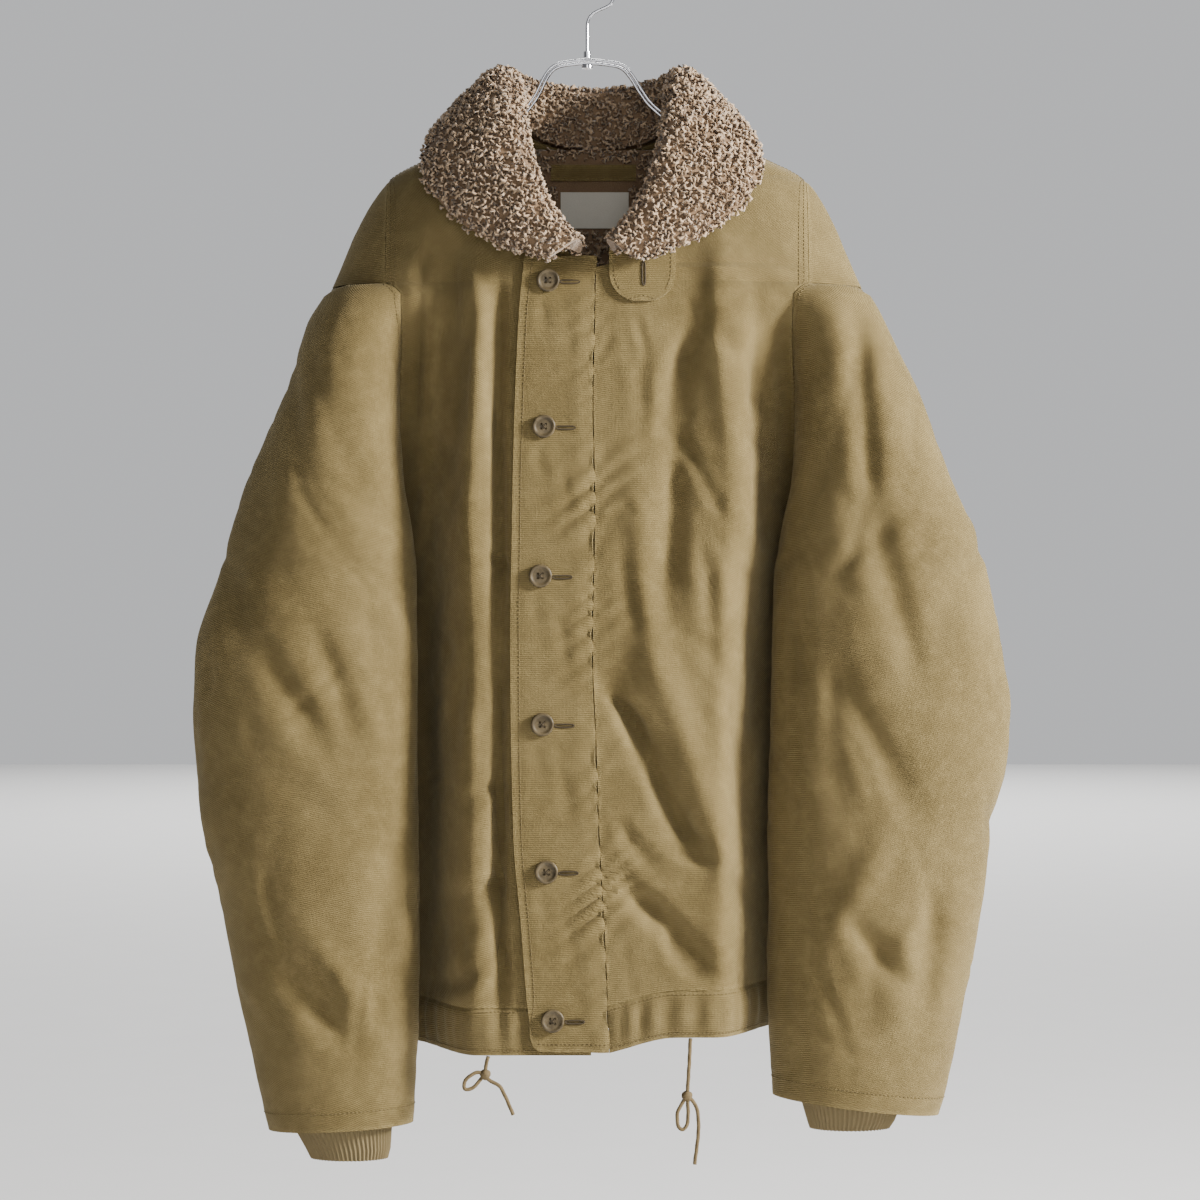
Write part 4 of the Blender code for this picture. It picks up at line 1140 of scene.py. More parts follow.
def finer(heights, step):
    """The same levels with more between them, so that neighbours still meet."""
    found = []
    for top, bottom in zip(heights, heights[1:]):
        found += list(np.linspace(top, bottom, max(1, round((top - bottom) / step)), endpoint=False))
    return found + [heights[-1]]


def grid_normals(grid, outward):
    """Unit normals of a grid of rows running down, with their sign chosen by outward."""
    across = np.cross(np.gradient(grid, axis=0), np.gradient(grid, axis=1)) * outward
    return across / (np.linalg.norm(across, axis=2, keepdims=True) + 1e-9)


def run_along(grid, axis):
    """Distance along the rows (axis 1) or down the columns (axis 0)."""
    step = np.linalg.norm(np.diff(grid, axis=axis), axis=2)
    zero = np.zeros_like(np.take(step, [0], axis=axis))
    return np.concatenate([zero, np.cumsum(step, axis=axis)], axis=axis)


def soft_noise(grid, size, seed):
    """Smooth noise of about that size, from -1 to 1, read in space."""
    flat = grid.reshape(-1, 3) / size + seed
    return np.array([noise.noise(Vector(p)) for p in flat]).reshape(grid.shape[:2])


def crease_relief(creases, a, z):
    """Height of the creases at (a, z): a soft trough with a low ridge on both sides."""
    total = np.zeros_like(a)
    for number, (a_top, z_top, a_bottom, z_bottom, half_width, depth, bend) in enumerate(creases):
        run_a = a_bottom - a_top
        run_z = z_bottom - z_top
        length = math.hypot(run_a, run_z)
        along = ((a - a_top) * run_a + (z - z_top) * run_z) / length
        t = np.clip(along / length, 0, 1)
        across = ((a - a_top) * run_z - (z - z_top) * run_a) / length - bend * 4 * t * (1 - t)
        s = across / (half_width * (0.75 + 0.5 * t))
        trough = np.exp(-np.abs(s) ** 1.6)
        ridges = 0.35 * (np.exp(-((s - 1.9) ** 2)) + np.exp(-((s + 1.9) ** 2)))
        taper = smoothstep(along / (0.3 * length) + 0.1) * smoothstep((length - along) / (0.4 * length) + 0.1)
        uneven = 0.8 + 0.25 * np.sin(along / 19 + 1.7 * number)
        total -= depth * taper * uneven * (trough - ridges)
    return total


def scattered(seed, count, a_low, a_high, z_low, z_high, lean, depth):
    """Short light creases of uneven length and direction, leaning by about lean radians off the vertical."""
    random = np.random.default_rng(seed)
    rows = []
    for _ in range(count):
        a = random.uniform(a_low, a_high)
        z = random.uniform(z_low, z_high)
        angle = lean + random.normal(0, 0.5)
        length = random.uniform(35, 120)
        rows.append((
            a, z, a + length * math.sin(angle), z - length * math.cos(angle),
            random.uniform(3.5, 7), depth * random.uniform(0.35, 1), random.uniform(-9, 9),
        ))
    return rows


class Panel:
    """A piece of cloth as a grid: its rows run down, and its border's distances are kept for seams."""

    def __init__(self, rows, outward, closed_from=None):
        self.grid = np.array(rows, float)
        self.outward = outward
        self.closed_from = closed_from
        self.across = run_along(self.grid, 1)
        self.down = run_along(self.grid, 0)
        self.from_end = self.across[:, -1:] - self.across
        self.from_bottom = self.down[-1:] - self.down
        self.relief = np.zeros(self.grid.shape[:2])

    def raise_by(self, relief, fade=14.0):
        """Moves the cloth out by relief, held still at its borders so that the seams stay closed."""
        border = np.minimum(np.minimum(self.across, self.from_end), np.minimum(self.down, self.from_bottom))
        relief = relief * smoothstep(border / fade)
        self.relief += relief
        self.grid += grid_normals(self.grid, self.outward) * relief[:, :, None]

    def pucker(self, distance, along, height, pitch, seed, reach=PUCKER_REACH):
        """Small gathers that run away from a seam at that distance."""
        phase = 2.6 * np.sin(along / 31 + seed) + 1.7 * np.sin(along / 12.3 + 2 * seed)
        wave = np.sin(2 * math.pi * along / pitch + phase)
        wave = wave * (0.55 + 0.3 * np.sin(along / 17 + seed) + 0.25 * np.sin(along / 43 + 3 * seed))
        reach = reach * (0.75 + 0.35 * np.sin(along / 27 + 5 * seed))
        relief = height * wave * smoothstep(distance / 2.5) * np.exp(-((distance / reach) ** 2))
        self.relief += relief
        self.grid += grid_normals(self.grid, self.outward) * relief[:, :, None]

    def patch(self):
        made = Patch(list(self.grid), self.closed_from, flip=self.outward < 0)
        border = np.minimum(np.minimum(self.across, self.from_end), np.minimum(self.down, self.from_bottom))
        extra = np.stack([self.across, self.down, border, self.relief], axis=2).reshape(-1, 4)
        made.extra = extra[made.used]
        return made

    def route(self, edge, distance, lift=0.0, start=0.0, end=1.0):
        """A line on the cloth that keeps that distance from one edge: left, right, top or bottom."""
        table = {
            "left": self.across,
            "right": self.from_end,
            "top": self.down,
            "bottom": self.from_bottom,
        }[edge]
        normals = grid_normals(self.grid, self.outward)
        face = self.grid + normals * lift
        if edge in ("top", "bottom"):
            face = face.transpose(1, 0, 2)
            table = table.T
        found = []
        count = len(face)
        for r in range(int(start * (count - 1)), int(end * (count - 1)) + 1):
            order = np.argsort(table[r])
            found.append([np.interp(distance, table[r][order], face[r][order, axis]) for axis in range(3)])
        return np.array(found)


def mesh_in_metres(name, points, faces, edges=()):
    """A mesh from points in millimetres."""
    mesh = bpy.data.meshes.new(name)
    points = [tuple(point) for point in np.array(points) * MM]
    mesh.from_pydata(points, edges, [tuple(map(int, face)) for face in faces])
    return mesh


def finish_mesh(name, points, faces, material, slot, extra=None):
    """One finished piece in metres, riding on the frame."""
    mesh = mesh_in_metres(name, points, faces)
    if extra is not None:
        uv = mesh.attributes.new("cloth_uv", "FLOAT_VECTOR", "POINT")
        flat = np.zeros((len(points), 3), np.float32)
        flat[:, :2] = extra[:, :2] * MM
        uv.data.foreach_set("vector", flat.ravel())
        # relief_mm also sets the canvas colour: painted shade in its troughs, lighter on its ridges.
        for column, attribute in ((2, "edge_mm"), (3, "relief_mm")):
            made = mesh.attributes.new(attribute, "FLOAT", "POINT")
            made.data.foreach_set("value", extra[:, column].astype(np.float32))
    mesh.materials.append(material)
    mesh.shade_smooth()
    mesh.set_sharp_from_angle(angle=SHARP_ANGLE)
    obj = bpy.data.objects.new(name, mesh)
    bpy.context.scene.collection.objects.link(obj)
    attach(obj, "root")
    return obj


def finish_wall(name, patch, material, slot, thickness=CLOTH, outward=0.0):
    points, faces = patch.wall(thickness, outward)
    return finish_mesh(name, points, faces, material, slot, np.concatenate([patch.extra, patch.extra]))


def declare_cloth(obj, node, panel):
    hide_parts(node)
    width = float(panel.across[:, -1].max()) * MM
    length = float(panel.down[-1].max()) * MM
    area = sum(polygon.area for polygon in obj.data.polygons) / 2
    area = min(area, width * length)


def shader_nodes(name):
    """(material, nodes, links, Principled shader) of a new material."""
    material = bpy.data.materials.new(name)
    material.use_nodes = True
    tree = material.node_tree
    return material, tree.nodes, tree.links, tree.nodes["Principled BSDF"]


def math_node(nodes, links, operation, first, second=None, clamp=False):
    node = nodes.new("ShaderNodeMath")
    node.operation = operation
    node.use_clamp = clamp
    for socket, value in zip(node.inputs, (first, second)):
        if value is None:
            continue
        if isinstance(value, (int, float)):
            socket.default_value = value
        else:
            links.new(value, socket)
    return node.outputs[0]


def noise_node(nodes, links, vector, scale, detail=3.0, roughness=0.55):
    node = nodes.new("ShaderNodeTexNoise")
    node.inputs["Scale"].default_value = scale
    node.inputs["Detail"].default_value = detail
    node.inputs["Roughness"].default_value = roughness
    links.new(vector, node.inputs["Vector"])
    return node.outputs["Fac"]


def mix_colour(nodes, links, amount, first, second, blend="MIX"):
    node = nodes.new("ShaderNodeMix")
    node.data_type = "RGBA"
    node.blend_type = blend
    for socket, value in zip((node.inputs[0], node.inputs[6], node.inputs[7]), (amount, first, second)):
        if isinstance(value, tuple):
            socket.default_value = (*value, 1)
        elif isinstance(value, (int, float)):
            socket.default_value = value
        else:
            links.new(value, socket)
    return node.outputs[2]


def attribute_node(nodes, name):
    node = nodes.new("ShaderNodeAttribute")
    node.attribute_name = name
    return node


def ramp(nodes, links, value, low, high, least=0.0, most=1.0):
    """value mapped smoothly from low..high to least..most."""
    node = nodes.new("ShaderNodeMapRange")
    node.interpolation_type = "SMOOTHSTEP"
    node.inputs["From Min"].default_value = low
    node.inputs["From Max"].default_value = high
    node.inputs["To Min"].default_value = least
    node.inputs["To Max"].default_value = most
    links.new(value, node.inputs["Value"])
    return node.outputs["Result"]


def bump(nodes, links, shader, layers):
    """Chained bumps, from (height, distance in metres, strength)."""
    normal = None
    for height, distance, strength in layers:
        node = nodes.new("ShaderNodeBump")
        node.inputs["Distance"].default_value = distance
        node.inputs["Strength"].default_value = strength
        links.new(height, node.inputs["Height"])
        if normal is not None:
            links.new(normal, node.inputs["Normal"])
        normal = node.outputs["Normal"]
    links.new(normal, shader.inputs["Normal"])


def canvas_material(name, tone=1.0, rib_pitch=RIB_PITCH):
    """Napped cotton with a fine dense rib: faded on its rubbed edges, lighter on its raised ridges, with
    painted shade in its folds and in the rib's furrows.
    """
    material, nodes, links, shader = shader_nodes(name)
    place_at = nodes.new("ShaderNodeTexCoord").outputs["Object"]
    cloth_uv = attribute_node(nodes, "cloth_uv").outputs["Vector"]
    parts = nodes.new("ShaderNodeSeparateXYZ")
    links.new(cloth_uv, parts.inputs[0])
    blotch = noise_node(nodes, links, place_at, 14, 4)
    mottle = noise_node(nodes, links, place_at, 95, 5, 0.65)
    nap = noise_node(nodes, links, place_at, 620, 3, 0.7)
    slub = noise_node(nodes, links, place_at, 1900, 2, 0.7)
    sway = math_node(nodes, links, "MULTIPLY", mottle, 0.0012)
    ribs = math_node(nodes, links, "ADD", parts.outputs["Y"], sway)
    ribs = math_node(nodes, links, "SINE", math_node(nodes, links, "MULTIPLY", ribs, 2 * math.pi / rib_pitch))
    warp = math_node(nodes, links, "MULTIPLY", parts.outputs["X"], 2 * math.pi / WARP_PITCH)
    warp = math_node(nodes, links, "SINE", warp)
    weave = math_node(nodes, links, "MULTIPLY_ADD", ribs, 0.35)
    weave.node.inputs[2].default_value = 0.5
    dark = tuple(channel * tone for channel in CANVAS_DARK)
    middle = tuple(channel * tone for channel in CANVAS_MIDDLE)
    light = tuple(channel * tone for channel in CANVAS_LIGHT)
    colour = mix_colour(nodes, links, ramp(nodes, links, blotch, 0.3, 0.75), dark, middle)
    cloudy = math_node(nodes, links, "MULTIPLY", ramp(nodes, links, mottle, 0.40, 0.78), 0.45)
    colour = mix_colour(nodes, links, cloudy, colour, light)
    speck = math_node(nodes, links, "MULTIPLY", ramp(nodes, links, nap, 0.3, 0.7), 0.55)
    colour = mix_colour(nodes, links, speck, colour, middle)
    # Painted shade: darker in the low furrows of the rib, the same ribs that the bump raises.
    painted_furrow_shade = math_node(nodes, links, "MULTIPLY", math_node(nodes, links, "SUBTRACT", 1.0, weave), 0.4, True)
    colour = mix_colour(nodes, links, painted_furrow_shade, colour, tuple(channel * 0.35 for channel in dark))
    # The relief colours the cloth: lighter and mottled on its raised ridges, and painted shade in its
    # troughs.
    relief = attribute_node(nodes, "relief_mm").outputs["Fac"]
    worn = math_node(nodes, links, "MULTIPLY", ramp(nodes, links, relief, 0.3, 3.0), mottle, True)
    edge = attribute_node(nodes, "edge_mm").outputs["Fac"]
    rubbed = math_node(nodes, links, "SUBTRACT", 1.0, ramp(nodes, links, edge, 0.4, 5.0))
    rubbed = math_node(nodes, links, "MULTIPLY", rubbed, ramp(nodes, links, nap, 0.35, 0.65))
    worn = math_node(nodes, links, "MAXIMUM", worn, math_node(nodes, links, "MULTIPLY", rubbed, 0.6))
    colour = mix_colour(nodes, links, math_node(nodes, links, "MULTIPLY", worn, 0.7), colour, light)
    # Painted shade: darker where the relief sinks into a trough.
    painted_crease_shade = math_node(nodes, links, "MULTIPLY", relief, -0.22, True)
    painted_crease_shade = math_node(nodes, links, "MULTIPLY", ramp(nodes, links, painted_crease_shade, 0.0, 1.0), 0.35)
    colour = mix_colour(nodes, links, painted_crease_shade, colour, tuple(channel * 0.45 for channel in dark))
    links.new(colour, shader.inputs["Base Color"])
    shader.inputs["Roughness"].default_value = 0.88
    shader.inputs["Specular IOR Level"].default_value = 0.25
    shader.inputs["Sheen Weight"].default_value = 0.22
    shader.inputs["Sheen Roughness"].default_value = 0.45
    shader.inputs["Sheen Tint"].default_value = (0.8, 0.68, 0.42, 1)
    bump(nodes, links, shader, [
        (warp, 0.00008, 0.4),
        (ribs, 0.00022, 0.7),
        (slub, 0.0003, 0.5),
        (nap, 0.0006, 0.5),
        (mottle, 0.0016, 0.35),
    ])
    return material


def pile_material(name, curls=True):
    """Curly pile: painted shade at the roots and a painted highlight on the tips, each curl with a tone of
    its own.
    """
    material, nodes, links, shader = shader_nodes(name)
    place_at = nodes.new("ShaderNodeTexCoord").outputs["Object"]
    patchy = noise_node(nodes, links, place_at, 45, 4)
    fine = noise_node(nodes, links, place_at, 900, 3, 0.7)
    if curls:
        tone = attribute_node(nodes, "curl_tone").outputs["Fac"]
        height = attribute_node(nodes, "curl_height").outputs["Fac"]
        # Painted shade: darker towards each curl's root.
        colour = mix_colour(nodes, links, ramp(nodes, links, height, 0.1, 0.9), PILE_ROOT_SHADE, PILE_MIDDLE)
        # Painted highlight on the curl tips, scaled by each curl's random tone.
        lit = math_node(nodes, links, "MULTIPLY", tone, ramp(nodes, links, height, 0.3, 1.0))
        colour = mix_colour(nodes, links, lit, colour, PILE_TIP_HIGHLIGHT)
    else:
        # The bare base is painted shade, dark where it shows between the curls.
        colour = mix_colour(nodes, links, ramp(nodes, links, fine, 0.35, 0.8), PILE_ROOT_SHADE, PILE_SHADE)
    patches = math_node(nodes, links, "MULTIPLY", patchy, 0.3)
    colour = mix_colour(nodes, links, patches, colour, PILE_MIDDLE if curls else PILE_SHADE)
    links.new(colour, shader.inputs["Base Color"])
    shader.inputs["Roughness"].default_value = 0.9
    shader.inputs["Specular IOR Level"].default_value = 0.2
    shader.inputs["Sheen Weight"].default_value = 0.35
    shader.inputs["Sheen Roughness"].default_value = 0.4
    bump(nodes, links, shader, [(fine, 0.0007, 0.8)])
    return material


def yarn_material(name, colour, shade, scale=1400, roughness=0.85):
    """Knit, thread, tape and cord: a fine fibrous grain."""
    material, nodes, links, shader = shader_nodes(name)
    place_at = nodes.new("ShaderNodeTexCoord").outputs["Object"]
    grain = noise_node(nodes, links, place_at, scale, 3, 0.7)
    wide = noise_node(nodes, links, place_at, 60, 3)
    fine_share = math_node(nodes, links, "MULTIPLY", grain, 0.7)
    wide_share = math_node(nodes, links, "MULTIPLY", wide, 0.3)
    mixed = math_node(nodes, links, "ADD", fine_share, wide_share)
    links.new(mix_colour(nodes, links, mixed, shade, colour), shader.inputs["Base Color"])
    shader.inputs["Roughness"].default_value = roughness
    shader.inputs["Specular IOR Level"].default_value = 0.25
    bump(nodes, links, shader, [(grain, 0.0003, 0.7)])
    return material


def button_material(name):
    """Dull horn-like plastic with faint swirls and scuffs."""
    material, nodes, links, shader = shader_nodes(name)
    place_at = nodes.new("ShaderNodeTexCoord").outputs["Object"]
    swirl = noise_node(nodes, links, place_at, 160, 4)
    scuff = noise_node(nodes, links, place_at, 1500, 4, 0.7)
    colour = mix_colour(nodes, links, ramp(nodes, links, swirl, 0.35, 0.65), BUTTON_DARK, BUTTON_LIGHT)
    links.new(colour, shader.inputs["Base Color"])
    rough = math_node(nodes, links, "MULTIPLY_ADD", scuff, 0.3)
    rough.node.inputs[2].default_value = 0.28
    links.new(rough, shader.inputs["Roughness"])
    shader.inputs["Specular IOR Level"].default_value = 0.3
    bump(nodes, links, shader, [(scuff, 0.0001, 0.3)])
    return material


def chrome_material(name):
    """Bright chrome with light smears."""
    material, nodes, links, shader = shader_nodes(name)
    place_at = nodes.new("ShaderNodeTexCoord").outputs["Object"]
    smear = noise_node(nodes, links, place_at, 120, 4)
    colour = mix_colour(nodes, links, smear, (0.40, 0.40, 0.42), (0.66, 0.66, 0.68))
    links.new(colour, shader.inputs["Base Color"])
    shader.inputs["Metallic"].default_value = 1.0
    rough = math_node(nodes, links, "MULTIPLY_ADD", smear, 0.14)
    rough.node.inputs[2].default_value = 0.06
    links.new(rough, shader.inputs["Roughness"])
    return material


def plain_material(name, colour, roughness=0.9):
    """The pale floor: almost even, with a faint grain."""
    material, nodes, links, shader = shader_nodes(name)
    place_at = nodes.new("ShaderNodeTexCoord").outputs["Object"]
    grain = noise_node(nodes, links, place_at, 8, 3)
    tint = tuple(channel * 0.96 for channel in colour)
    links.new(mix_colour(nodes, links, grain, tint, colour), shader.inputs["Base Color"])
    shader.inputs["Roughness"].default_value = roughness
    return material


def lumpy(panel, height, seed):
    """Uneven softness of worn cloth at three sizes."""
    panel.raise_by(
        height * (1.3 * soft_noise(panel.grid, 55, seed) + 0.55 * soft_noise(panel.grid, 19, seed + 9))
        + 0.22 * height * soft_noise(panel.grid, 7.5, seed + 21),
        10.0,
    )


def front_panel(side):
    rows = [front_row(side, z, PANEL_COLUMNS) for z in finer(BODY_LEVELS, GRID_STEP)]
    panel = Panel(rows, 1 if side == WEARER_LEFT else -1)
    x = panel.grid[:, :, 0].copy()
    z = panel.grid[:, :, 2].copy()
    if side == WEARER_RIGHT:
        open_cloth = smoothstep((FLAP_HIDES_X - 4 - x) / 8)
    else:
        tab = smoothstep((np.hypot((x - TAB_MIDDLE_X) / 34, (z + 260) / 32) - 1) * 2)
        open_cloth = tab * smoothstep((x - 6) / 10)
    panel.raise_by(FRONT_CREASE_GAIN * crease_relief(FRONT_CREASES[side], x, z) * open_cloth)
    panel.raise_by(crease_relief(scattered(*LIGHT_CREASES[side]), x, z) * open_cloth)
    lumpy(panel, 0.8 * open_cloth, 3 * side)
    if side == WEARER_LEFT:
        slanted = 0.7 * panel.across - z
        panel.pucker(panel.across, slanted, height=2.3 * open_cloth, pitch=19, seed=1, reach=26.0)
    below_yoke = smoothstep((ARMHOLE_FRONT_Z - z) / 12)
    panel.pucker(panel.from_end, panel.down, height=0.6 * below_yoke, pitch=11, seed=2)
    panel.pucker(panel.from_bottom, panel.across, height=0.8, pitch=12, seed=3)
    return panel


def back_panel():
    rows = [back_row(z, BACK_COLUMNS) for z in finer(BODY_LEVELS, GRID_STEP)]
    panel = Panel(rows, -1)
    x = panel.grid[:, :, 0].copy()
    z = panel.grid[:, :, 2].copy()
    behind = smoothstep(panel.grid[:, :, 1] / 25)
    panel.raise_by(crease_relief(BACK_CREASES, x, z) * behind)
    panel.raise_by(crease_relief(scattered(*BACK_LIGHT_CREASES), x, z) * behind)
    lumpy(panel, 0.8, 5)
    panel.pucker(panel.from_bottom, panel.across, height=0.8, pitch=12, seed=4)
    return panel


def sleeve_panel(side):
    heights = sleeve_levels(side)
    fine = finer(heights, SLEEVE_STEP)
    rows = [sleeve_row(side, z, SLEEVE_COLUMNS) for z in fine]
    panel = Panel(rows, 1 if side == WEARER_LEFT else -1, fine.index(UNDERARM_Z))
    around = panel.across.copy()
    z = panel.grid[:, :, 2].copy()
    creases = [
        (*ends, SLEEVE_CREASE_WIDENING * half_width, depth, bend)
        for *ends, half_width, depth, bend in SLEEVE_CREASES[side]
    ]
    panel.raise_by(SLEEVE_CREASE_GAIN * crease_relief(creases, around, z))
    panel.raise_by(crease_relief(scattered(*SLEEVE_LIGHT_CREASES[side]), around, z))
    lumpy(panel, 0.85, 7 * side)
    above = smoothstep((z - UNDERARM_Z) / 20)
    panel.pucker(panel.across, panel.down, height=0.7 * above, pitch=10, seed=5)
    panel.pucker(panel.from_end, panel.down, height=0.7 * above, pitch=10, seed=6)
    return panel


def casing_panel(side, panel_of_body):
    """The hem casing: the body's own lowest row carried down, gathered along its cord."""
    heights = finer(levels((CASING_SEAM_Z, 4), (HEM_Z, 0)), 3.0)
    columns = BACK_COLUMNS if side is None else PANEL_COLUMNS
    rows = []
    for z in heights:
        row = back_row(z, columns) if side is None else front_row(side, z, columns)
        rows.append(resample(row, columns))
    panel = Panel(rows, panel_of_body.outward)
    down = panel.down / panel.down[-1:]
    body = np.sin(math.pi * np.clip(0.1 + 0.85 * down, 0, 1))
    ends = smoothstep(np.minimum(panel.across, panel.from_end) / 8)
    clear = smoothstep((FLAP_HIDES_X - panel.grid[:, :, 0]) / 10) if side == WEARER_RIGHT else 1.0
    wave = np.sin(panel.across / 2.9 + 1.6 * np.sin(panel.across / 17) + 0.5 * down)
    relief = (CASING_PROUD + (1.2 + 0.6 * np.sin(panel.across / 23)) * wave) * body * ends * clear
    relief = relief * smoothstep(down * 8)
    panel.grid += grid_normals(panel.grid, panel.outward) * relief[:, :, None]
    # This relief colours the casing: painted shade in the gathers' troughs, lighter on their ridges.
    panel.relief = 0.9 * wave * body
    # Its upper edge is tucked behind the body's, as it is sewn
    inward = grid_normals(panel.grid, panel.outward)[0] * (CLOTH + CASING_TUCK_GAP)
    panel.grid[0] += (0, 0, CASING_TUCK)
    panel.grid[0] -= inward
    return panel


def flap_panel():
    panel = Panel(flap_rows(), 1)
    z = panel.grid[:, :, 2].copy()
    x = panel.grid[:, :, 0].copy()
    drags = []
    for button_x, button_z in BUTTONS:
        drags += [
            (button_x + 8, button_z - 1, button_x + 26, button_z - 2, 3.5, 0.9, 1),
            (button_x - 3, button_z - 12, button_x + 2, button_z - 44, 5, 0.9, 3),
            (button_x + 12, button_z - 30, button_x + 20, button_z - 78, 5, 0.8, -3),
        ]
    panel.raise_by(crease_relief(drags, x, z), 5.0)
    lumpy(panel, 0.42, 31)
    panel.pucker(panel.from_end, -z - 0.7 * panel.from_end, height=1.9, pitch=19, seed=1, reach=28.0)
    panel.raise_by(0.8 * np.exp(-(((panel.from_end - 9) / 9) ** 2)))
    panel.raise_by(-2.0 * (1 - smoothstep(panel.from_end / 5.5)))
    panel.pucker(panel.across, panel.down, height=0.22, pitch=12, seed=9)
    groove = np.exp(-(((panel.across - 6.5) / 1.4) ** 2))
    panel.grid -= grid_normals(panel.grid, 1) * (0.5 * groove)[:, :, None]
    # The groove's relief also darkens it in the canvas colour, as painted shade.
    panel.relief -= 0.5 * groove
    return panel


def cuff_panel(side):
    """The knit cuff with its ribs, from inside the sleeve down to the narrow end."""
    rows = cuff_rows(side)
    dense = []
    for high, low in zip(rows, rows[1:]):
        for t in np.linspace(0, 1, 6, endpoint=False):
            dense.append([tuple(np.array(a) * (1 - t) + np.array(b) * t) for a, b in zip(high, low)])
    dense.append(rows[-1])
    panel = Panel(dense, 1 if side == WEARER_LEFT else -1, 0)
    count = panel.grid.shape[1]
    turn = np.linspace(0, 2 * math.pi, count)
    ribs = 0.55 * np.cos(CUFF_RIBS * turn)[None, :] * np.ones((len(dense), 1))
    panel.relief = ribs - 0.6
    panel.grid += grid_normals(panel.grid, panel.outward) * (ribs - 0.55)[:, :, None]
    panel.grid[:, -1] = panel.grid[:, 0]
    return panel


def capped_mesh(name, route, radius, sides, material, slot, twist=0.0, lumps=0.0):
    """A closed tube along a route with its rings square to it, and a strand pattern if asked."""
    route = np.array(route, float)
    along = np.gradient(route, axis=0)
    along /= np.linalg.norm(along, axis=1, keepdims=True)
    up = np.array([0.0, 1.0, 0.0])
    sections = []
    for k, (point, run) in enumerate(zip(route, along)):
        first = np.cross(run, up)
        first /= np.linalg.norm(first) + 1e-9
        second = np.cross(run, first)
        ring = []
        for j in range(sides):
            angle = 2 * math.pi * j / sides
            strand = 1 + lumps * math.cos(3 * angle + twist * k)
            offset = first * math.cos(angle) + second * math.sin(angle)
            ring.append(point + offset * radius * strand)
        sections.append(ring)
    points, faces = swept(sections)
    obj = finish_mesh(name, points, faces, material, slot)
    if outward_volume(obj) < 0:
        obj.data.flip_normals()
    return obj


def outward_volume(obj):
    total = 0.0
    for polygon in obj.data.polygons:
        total += polygon.center.dot(polygon.normal) * polygon.area
    return total


def node_tree(name, floats):
    """A Geometry Nodes tree with a mesh in and out and named number inputs."""
    tree = bpy.data.node_groups.new(name, "GeometryNodeTree")
    tree.interface.new_socket("Geometry", in_out="INPUT", socket_type="NodeSocketGeometry")
    tree.interface.new_socket("Geometry", in_out="OUTPUT", socket_type="NodeSocketGeometry")
    for label, value in floats.items():
        kind = "NodeSocketInt" if isinstance(value, int) else "NodeSocketFloat"
        tree.interface.new_socket(label, in_out="INPUT", socket_type=kind).default_value = value
    return tree, tree.nodes.new("NodeGroupInput"), tree.nodes.new("NodeGroupOutput")


def baked(source, tree, name, material):
    """The tree's result on source as a plain mesh piece, with source removed."""
    modifier = source.modifiers.new("make", "NODES")
    modifier.node_group = tree
    for item in tree.interface.items_tree:
        if item.in_out == "INPUT" and item.socket_type != "NodeSocketGeometry":
            modifier[item.identifier] = item.default_value
    graph = bpy.context.evaluated_depsgraph_get()
    mesh = bpy.data.meshes.new_from_object(source.evaluated_get(graph), depsgraph=graph)
    bpy.data.objects.remove(source, do_unlink=True)
    mesh.name = name
    mesh.materials.clear()
    mesh.materials.append(material)
    mesh.shade_smooth()
    obj = bpy.data.objects.new(name, mesh)
    bpy.context.scene.collection.objects.link(obj)
    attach(obj, "root")
    return obj


def hidden_object(name, mesh):
    obj = bpy.data.objects.new(name, mesh)
    bpy.context.scene.collection.objects.link(obj)
    return obj


def stitch_tree(stitch, material):
    tree, given, out = node_tree("stitch_row", {"Pitch": STITCH_PITCH * MM, "Seed": 5})
    nodes = tree.nodes
    links = tree.links
    curve = nodes.new("GeometryNodeMeshToCurve")
    even = nodes.new("GeometryNodeResampleCurve")
    even.mode = "LENGTH"
    tangent = nodes.new("GeometryNodeInputTangent")
    align = nodes.new("FunctionNodeAlignEulerToVector")
    align.axis = "X"
    shape = nodes.new("GeometryNodeObjectInfo")
    shape.inputs["Object"].default_value = stitch
    instance = nodes.new("GeometryNodeInstanceOnPoints")
    size = nodes.new("FunctionNodeRandomValue")
    size.data_type = "FLOAT_VECTOR"
    size.inputs[0].default_value = (0.88, 0.88, 0.88)
    size.inputs[1].default_value = (1.1, 1.1, 1.1)
    real = nodes.new("GeometryNodeRealizeInstances")
    finish = nodes.new("GeometryNodeSetMaterial")
    finish.inputs["Material"].default_value = material
    links.new(given.outputs["Geometry"], curve.inputs["Mesh"])
    links.new(curve.outputs["Curve"], even.inputs["Curve"])
    links.new(given.outputs["Pitch"], even.inputs["Length"])
    links.new(tangent.outputs["Tangent"], align.inputs["Vector"])
    links.new(even.outputs["Curve"], instance.inputs["Points"])
    links.new(shape.outputs["Geometry"], instance.inputs["Instance"])
    links.new(align.outputs["Rotation"], instance.inputs["Rotation"])
    links.new(given.outputs["Seed"], size.inputs["Seed"])
    links.new(size.outputs["Value"], instance.inputs["Scale"])
    links.new(instance.outputs["Instances"], real.inputs["Geometry"])
    links.new(real.outputs["Geometry"], finish.inputs["Geometry"])
    links.new(finish.outputs["Geometry"], out.inputs["Geometry"])
    return tree


